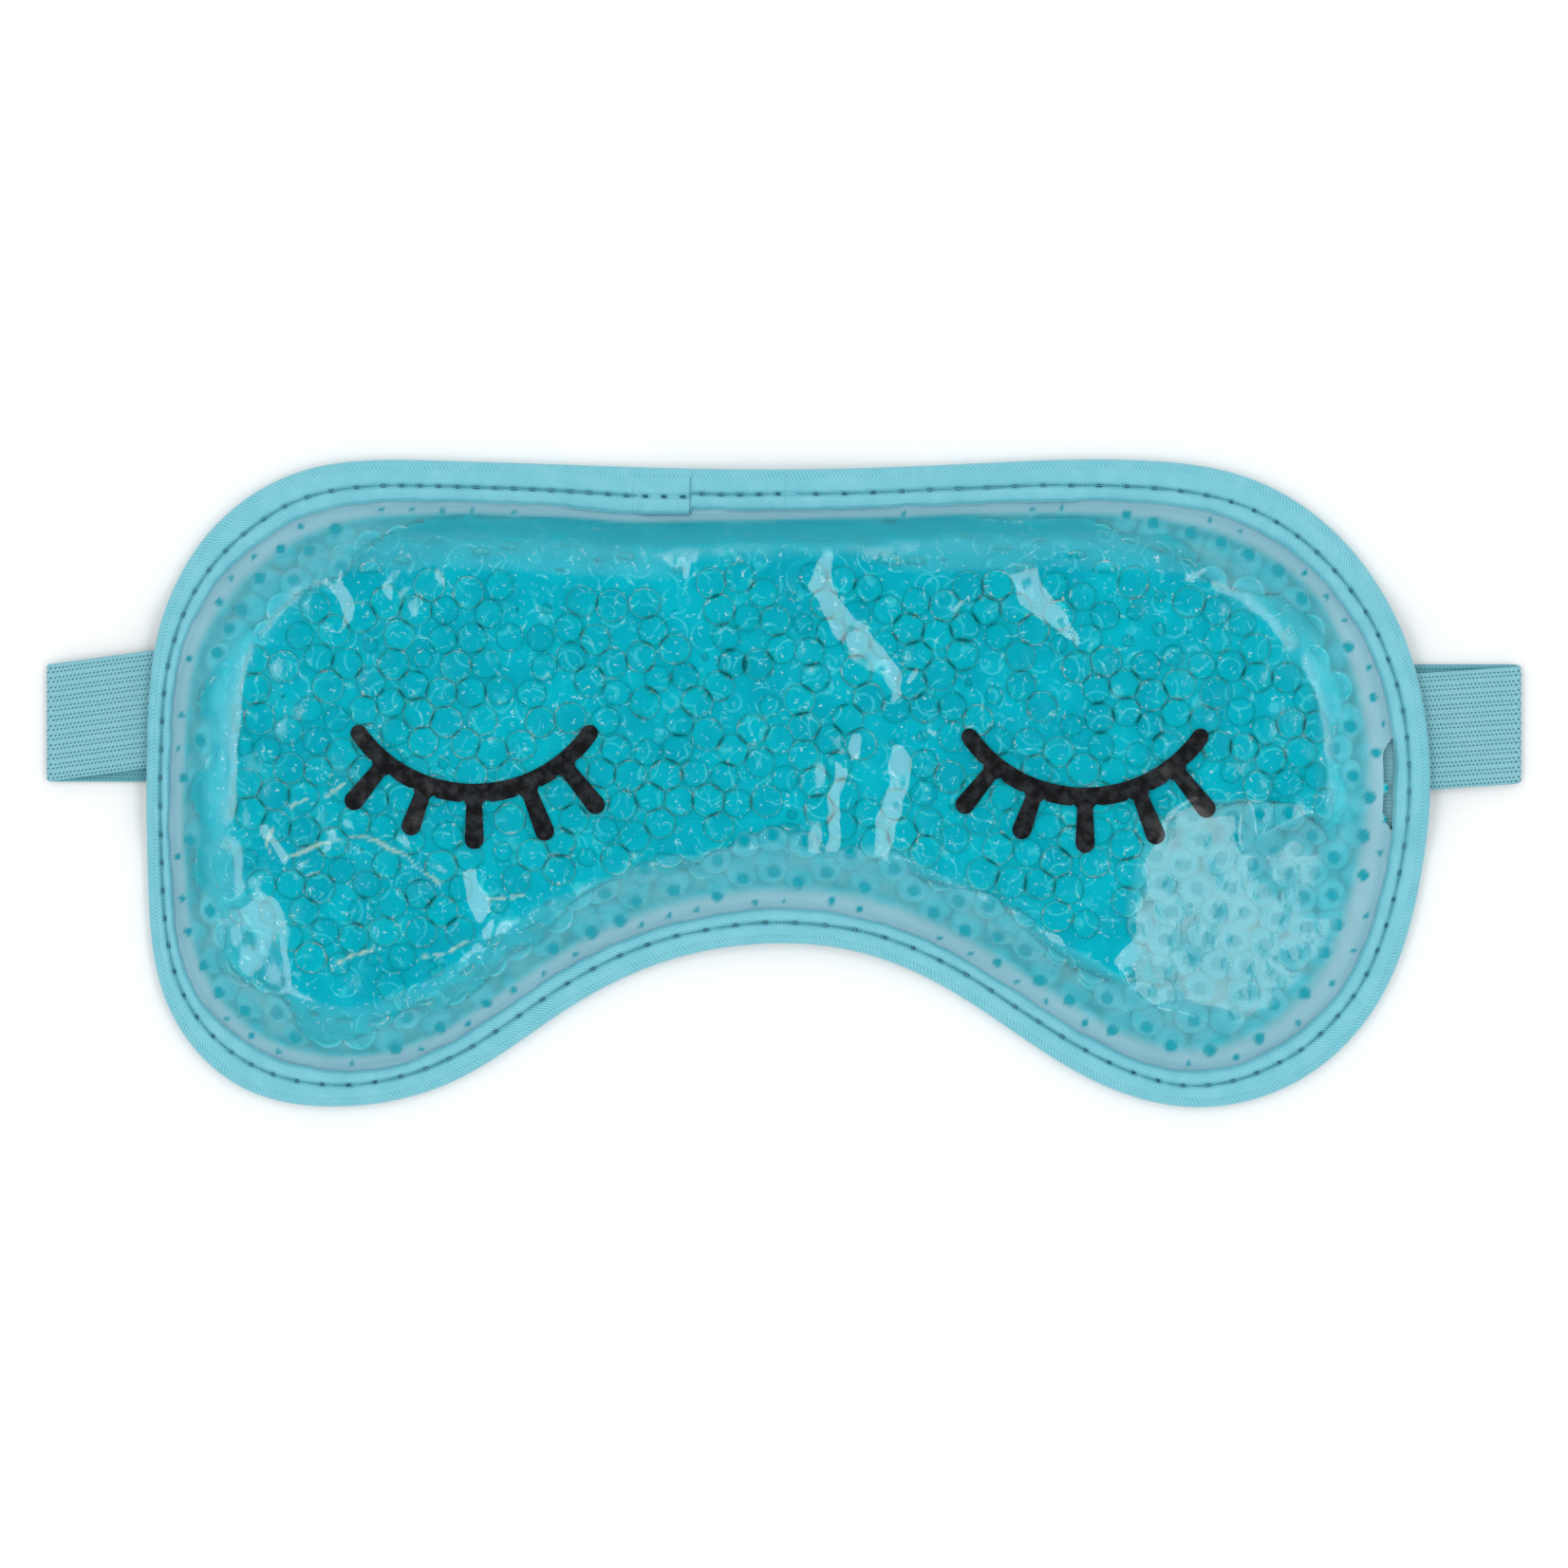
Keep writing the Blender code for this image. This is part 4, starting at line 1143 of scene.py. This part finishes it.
def make_print(name, centre, film_at, material):
    """Ink that follows the film: a closed sheet a little above it."""
    outline = eye_outline() + np.array(centre)
    dense = []
    for a, b in zip(outline, np.roll(outline, -1, axis=0)):
        pieces = max(1, int(np.linalg.norm(b - a) / 0.5))
        dense += [a + (b - a) * k / pieces for k in range(pieces)]
    dense = np.array(dense)
    low, high = dense.min(0), dense.max(0)
    gx, gy = np.meshgrid(np.arange(low[0], high[0], 0.55), np.arange(low[1], high[1], 0.55), indexing="ij")
    inner = np.column_stack([gx.ravel(), gy.ravel()])
    a, b = dense, np.roll(dense, -1, axis=0)
    x, y = inner[:, None, 0], inner[:, None, 1]
    crosses = (a[None, :, 1] > y) != (b[None, :, 1] > y)
    with np.errstate(divide="ignore", invalid="ignore"):
        at_x = a[None, :, 0] + (y - a[None, :, 1]) * (b - a)[None, :, 0] / (b - a)[None, :, 1]
    odd = (crosses & (x < at_x)).sum(1) % 2 == 1
    near = np.linalg.norm(inner[:, None, :] - dense[None], axis=2).min(1)
    inner = inner[odd & (near > 0.28)]
    n = len(dense)
    everything = [Vector(p) for p in np.vstack([dense, inner])]
    made = delaunay_2d_cdt(everything, [(k, (k + 1) % n) for k in range(n)], [list(range(n))], 1, 1e-5)
    flat = np.array([(v.x, v.y) for v in made[0]])
    faces = [tuple(f) for f in made[2]]
    corner, one, two = (flat[[f[k] for f in faces]] for k in range(3))
    one, two = one - corner, two - corner
    if (one[:, 0] * two[:, 1] - two[:, 0] * one[:, 1]).sum() < 0:
        faces = [f[::-1] for f in faces]
    edges = dict.fromkeys((u, v) for f in faces for u, v in zip(f, f[1:] + f[:1]))
    border = [(u, v) for u, v in edges if (v, u) not in edges]
    z = film_at(flat)
    count = len(flat)
    points = np.vstack([np.column_stack([flat, z + 0.11]), np.column_stack([flat, z + 0.03])])
    all_faces = faces + [tuple(count + k for k in f[::-1]) for f in faces]
    # the sides have vertices of their own, so that the face is shaded flat up to its edge
    ends = sorted({k for pair in border for k in pair})
    own = {k: 2 * count + i for i, k in enumerate(ends)}
    points = np.vstack([points, points[ends], points[[k + count for k in ends]]])
    all_faces += [(own[u], own[u] + len(ends), own[v] + len(ends), own[v]) for u, v in border]
    rounded = [k < len(faces) for k in range(len(all_faces))]
    return make_mesh(name, points, all_faces, material, {"flat": points}, rounded)


# ---------------------------------------------------------------- strap

TABS = {
    "left": {"end": 97.0, "tack": 100.0, "y_fold": 10.0, "y_end": 12.9},
    "right": {"end": 97.8, "tack": 101.4, "y_fold": 9.5, "y_end": 8.1},
}


def make_strap(name, side, material):
    """One half of the strap: its sewn end, the end fold and the run to the middle."""
    sign, tab = SIGN[side], TABS[side]
    outer = 0.5 * (TAB_LEVEL + STRAP_THICK)
    half = 0.5 * STRAP_THICK
    mid = outer - half
    path = []  # distance from the middle, height of the band's middle, normal (x, z), band's centre y
    for x in np.arange(tab["end"], FOLD_X, 0.55):
        share = (x - tab["end"]) / (FOLD_X - tab["end"])
        path.append((x, TAB_LEVEL + half, 0.0, 1.0, tab["y_end"] + (tab["y_fold"] - tab["y_end"]) * share))
    for a in np.linspace(0.5 * np.pi, -0.5 * np.pi, 9):
        share = 0.5 - a / np.pi
        y = tab["y_fold"] + (STRAP_Y - tab["y_fold"]) * share
        path.append((FOLD_X + mid * math.cos(a), outer + mid * math.sin(a), math.cos(a), math.sin(a), y))
    for x in np.arange(FOLD_X - 0.6, 1.2, -0.7):
        path.append((x, half, 0.0, -1.0, STRAP_Y))
    full = len(path)
    path.append((0.0, 0.5 * PIVOT_Z, 0.0, -1.0, STRAP_Y))
    # a round end about the strap's middle, inside the other half
    for a in np.linspace(0.2, 1.45, 7):
        x, z = -0.5 * PIVOT_Z * math.sin(a), PIVOT_Z - 0.5 * PIVOT_Z * math.cos(a)
        path.append((x, z, -math.sin(a), -math.cos(a), STRAP_Y))
    path = np.array(path)
    halves = np.where(np.arange(len(path)) < full, half, 0.47 * PIVOT_Z)[:, None]
    length = np.concatenate(([0.0], np.cumsum(np.linalg.norm(np.diff(path[:, :2], axis=0), axis=1))))
    ribs, per = 12, 6
    v = np.linspace(-0.5, 0.5, ribs * per + 1)
    across = v * STRAP_WIDTH
    wave = 0.09 * np.cos(2 * np.pi * across / RIB_PITCH)
    edge = smooth((0.5 - np.abs(v)) / 0.025)
    thick = 0.45 + 0.55 * edge
    sheets = []
    for way in (1.0, -1.0):
        away = way * np.clip(halves * thick[None, :] + (wave * edge)[None, :], -halves, halves)
        x, z = (path[:, k : k + 1] + path[:, k + 2 : k + 3] * away for k in (0, 1))
        sheets.append(np.stack([sign * x, path[:, 4:] + across[None, :], z], axis=-1))
    # section: outer face one way, inner face back
    points = np.concatenate([sheets[0], sheets[1][:, ::-1]], axis=1)
    m, n = points.shape[:2]
    faces = quads(m, n, False, True).tolist()
    faces.append(list(range(n)))
    faces.append([(m - 1) * n + k for k in reversed(range(n))])
    if sign > 0:
        faces = [f[::-1] for f in faces]
    tape = np.zeros((m, n, 3))
    tape[:, :, 0] = length[:, None]
    tape[:, :, 1] = np.concatenate([across, across[::-1]]) + 0.5 * STRAP_WIDTH
    tape[:, len(v) :, 2] = 0.5  # the reverse is darker: partly its own colour, partly painted shade for the inside of the end fold
    rounded = [len(f) == 4 for f in faces]
    return make_mesh(name, points, faces, material, {"tape": tape}, rounded), length[-1]


def make_tack(name, side, material):
    """The short zigzag that holds the strap's end to the backing."""
    sign, tab = SIGN[side], TABS[side]
    half = 0.5 * STRAP_WIDTH - 2.0
    share = (tab["tack"] - tab["end"]) / (FOLD_X - tab["end"])
    middle = tab["y_end"] + (tab["y_fold"] - tab["y_end"]) * share
    count, sides = 60, 6
    t = np.linspace(0, 1, count)
    x = tab["tack"] + 0.32 * np.sin(t * np.pi * 14)
    line = np.column_stack([sign * x, middle - half + 2 * half * t, np.full(count, TAB_LEVEL - 0.02)])
    points, turn = rings_round(line, TACK_RADIUS, sides)
    faces = quads(count, sides, False, True).tolist()
    faces.append(list(reversed(range(sides))))
    faces.append([(count - 1) * sides + k for k in range(sides)])
    tape = np.zeros((count, sides, 3))
    tape[:, :, 0] = (2 * half * t)[:, None]
    tape[:, :, 1] = turn * TACK_RADIUS
    return make_mesh(name, points, faces, material, {"tape": tape}, rounded=False)


# ---------------------------------------------------------------- camera, light and floor


def studio():
    scene = bpy.context.scene
    scene.view_settings.view_transform = "Standard"
    distance, field = 2.2, 0.254  # height of the camera above the mask's top, and the width it frames
    data = bpy.data.cameras.new("camera")
    data.lens = 36.0 * distance / field
    data.sensor_width = 36.0
    data.clip_end = 20.0
    camera = bpy.data.objects.new("camera", data)
    camera.location = (0.0, 0.0, distance + 0.004)
    scene.collection.objects.link(camera)
    scene.camera = camera

    world = bpy.data.worlds.new("studio")
    world.use_nodes = True
    nodes, links = world.node_tree.nodes, world.node_tree.links
    ground = nodes["Background"]
    where = nodes.new("ShaderNodeTexCoord")
    split = nodes.new("ShaderNodeSeparateXYZ")
    fade = nodes.new("ShaderNodeMapRange")
    fade.inputs[1].default_value, fade.inputs[2].default_value = 0.9, 0.975
    fade.inputs[3].default_value, fade.inputs[4].default_value = 0.87, 0.0
    links.new(where.outputs["Generated"], split.inputs[0])
    links.new(split.outputs[2], fade.inputs[0])
    links.new(fade.outputs[0], ground.inputs["Strength"])
    ground.inputs["Color"].default_value = (1.0, 1.0, 1.0, 1.0)
    scene.world = world

    for side in (-1.0, 1.0):
        lamp = bpy.data.lights.new("softbox", "AREA")
        lamp.shape = "RECTANGLE"
        lamp.size, lamp.size_y = 0.38, 1.1
        radiance = 3.9
        lamp.energy = radiance * math.pi * lamp.size * lamp.size_y
        obj = bpy.data.objects.new("softbox", lamp)
        tilt = math.radians(15.5)
        far = 1.5
        obj.location = (side * far * math.sin(tilt), 0.0, far * math.cos(tilt))
        obj.rotation_euler = (0.0, side * tilt, 0.0)
        scene.collection.objects.link(obj)

    floor_mesh = bpy.data.meshes.new("floor")
    size, level = 4.0, -0.0006
    corners = [(x * size, y * size, level) for x, y in ((-1, -1), (1, -1), (1, 1), (-1, 1))]
    floor_mesh.from_pydata(corners, [], [(0, 1, 2, 3)])
    paper = Shade("paper").finish(Base_Color=(0.92, 0.92, 0.92), Roughness=0.9, Specular_IOR_Level=0.1)
    floor_mesh.materials.append(paper)
    floor = bpy.data.objects.new("floor", floor_mesh)
    scene.collection.objects.link(floor)


# ---------------------------------------------------------------- assembly


def bend_with_fold(obj):
    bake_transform(obj)


def build():
    studio()
    beads_stuff = bead_material()
    beads, places, radius, wet = make_beads(beads_stuff)
    beads.append(make_gel(beads_stuff))
    film, q, z = make_film_front(film_front_material(), places, radius, wet)

    film_back = make_sheet(
        "film_back",
        film_edge(0.1),
        back_height,
        film_back_material(),
        extra=lambda p, d, i: {
            "wet": smooth((wetness(p, d - rim.width[i], i) + 1.0) / 2.0),
            "slack": np.full(len(p), 0.3),
        },
    )
    backing = make_sheet(
        "backing_cloth",
        np.full(len(rim.p), FILM_EDGE + 0.1),
        lambda d, i: rim.level(d, i) + BACKING_RIM - 1.15 * smooth((d - rim.width[i] - WELD) / SAG),
        backing_material(),
    )
    satin, thread, knit, ink = satin_material(), thread_material(), knit_material(), ink_material()
    binding = make_binding(satin)
    needle = make_seam("needle_stitches", thread, True)
    bobbin = make_seam("bobbin_stitches", thread, False)
    film_at = height_lookup(q, z)

    for obj in (*beads, film, film_back, backing, binding, needle, bobbin):
        bend_with_fold(obj)
    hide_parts("bead_fill_left")
    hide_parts("bead_fill_right")
    both = ("left", "right")
    for obj, node, name in (
        (film, "front_film", "clear_film"),
        (film_back, "back_film", "clear_film"),
        (backing, "backing", "backing_fabric"),
        (binding, "edge_binding", "binding_satin"),
        (needle, "needle_thread", "sewing_thread"),
        (bobbin, "bobbin_thread", "sewing_thread"),
    ):
        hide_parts(*(f"{node}_{side}" for side in both))

    for side in both:
        printed = make_print(f"eyelash_ink_{side}", EYES[side], film_at, ink)
        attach(printed, f"{side}_half")
        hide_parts(f"eyelash_print_{side}")

        strap, length = make_strap(f"elastic_{side}", side, knit)
        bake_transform(strap)
        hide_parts(f"strap_tab_{side}", f"strap_bend_{side}", f"strap_run_{side}")

        tack = make_tack(f"tack_stitches_{side}", side, thread)
        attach(tack, f"{side}_half")
        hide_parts(f"strap_tack_{side}")


build()
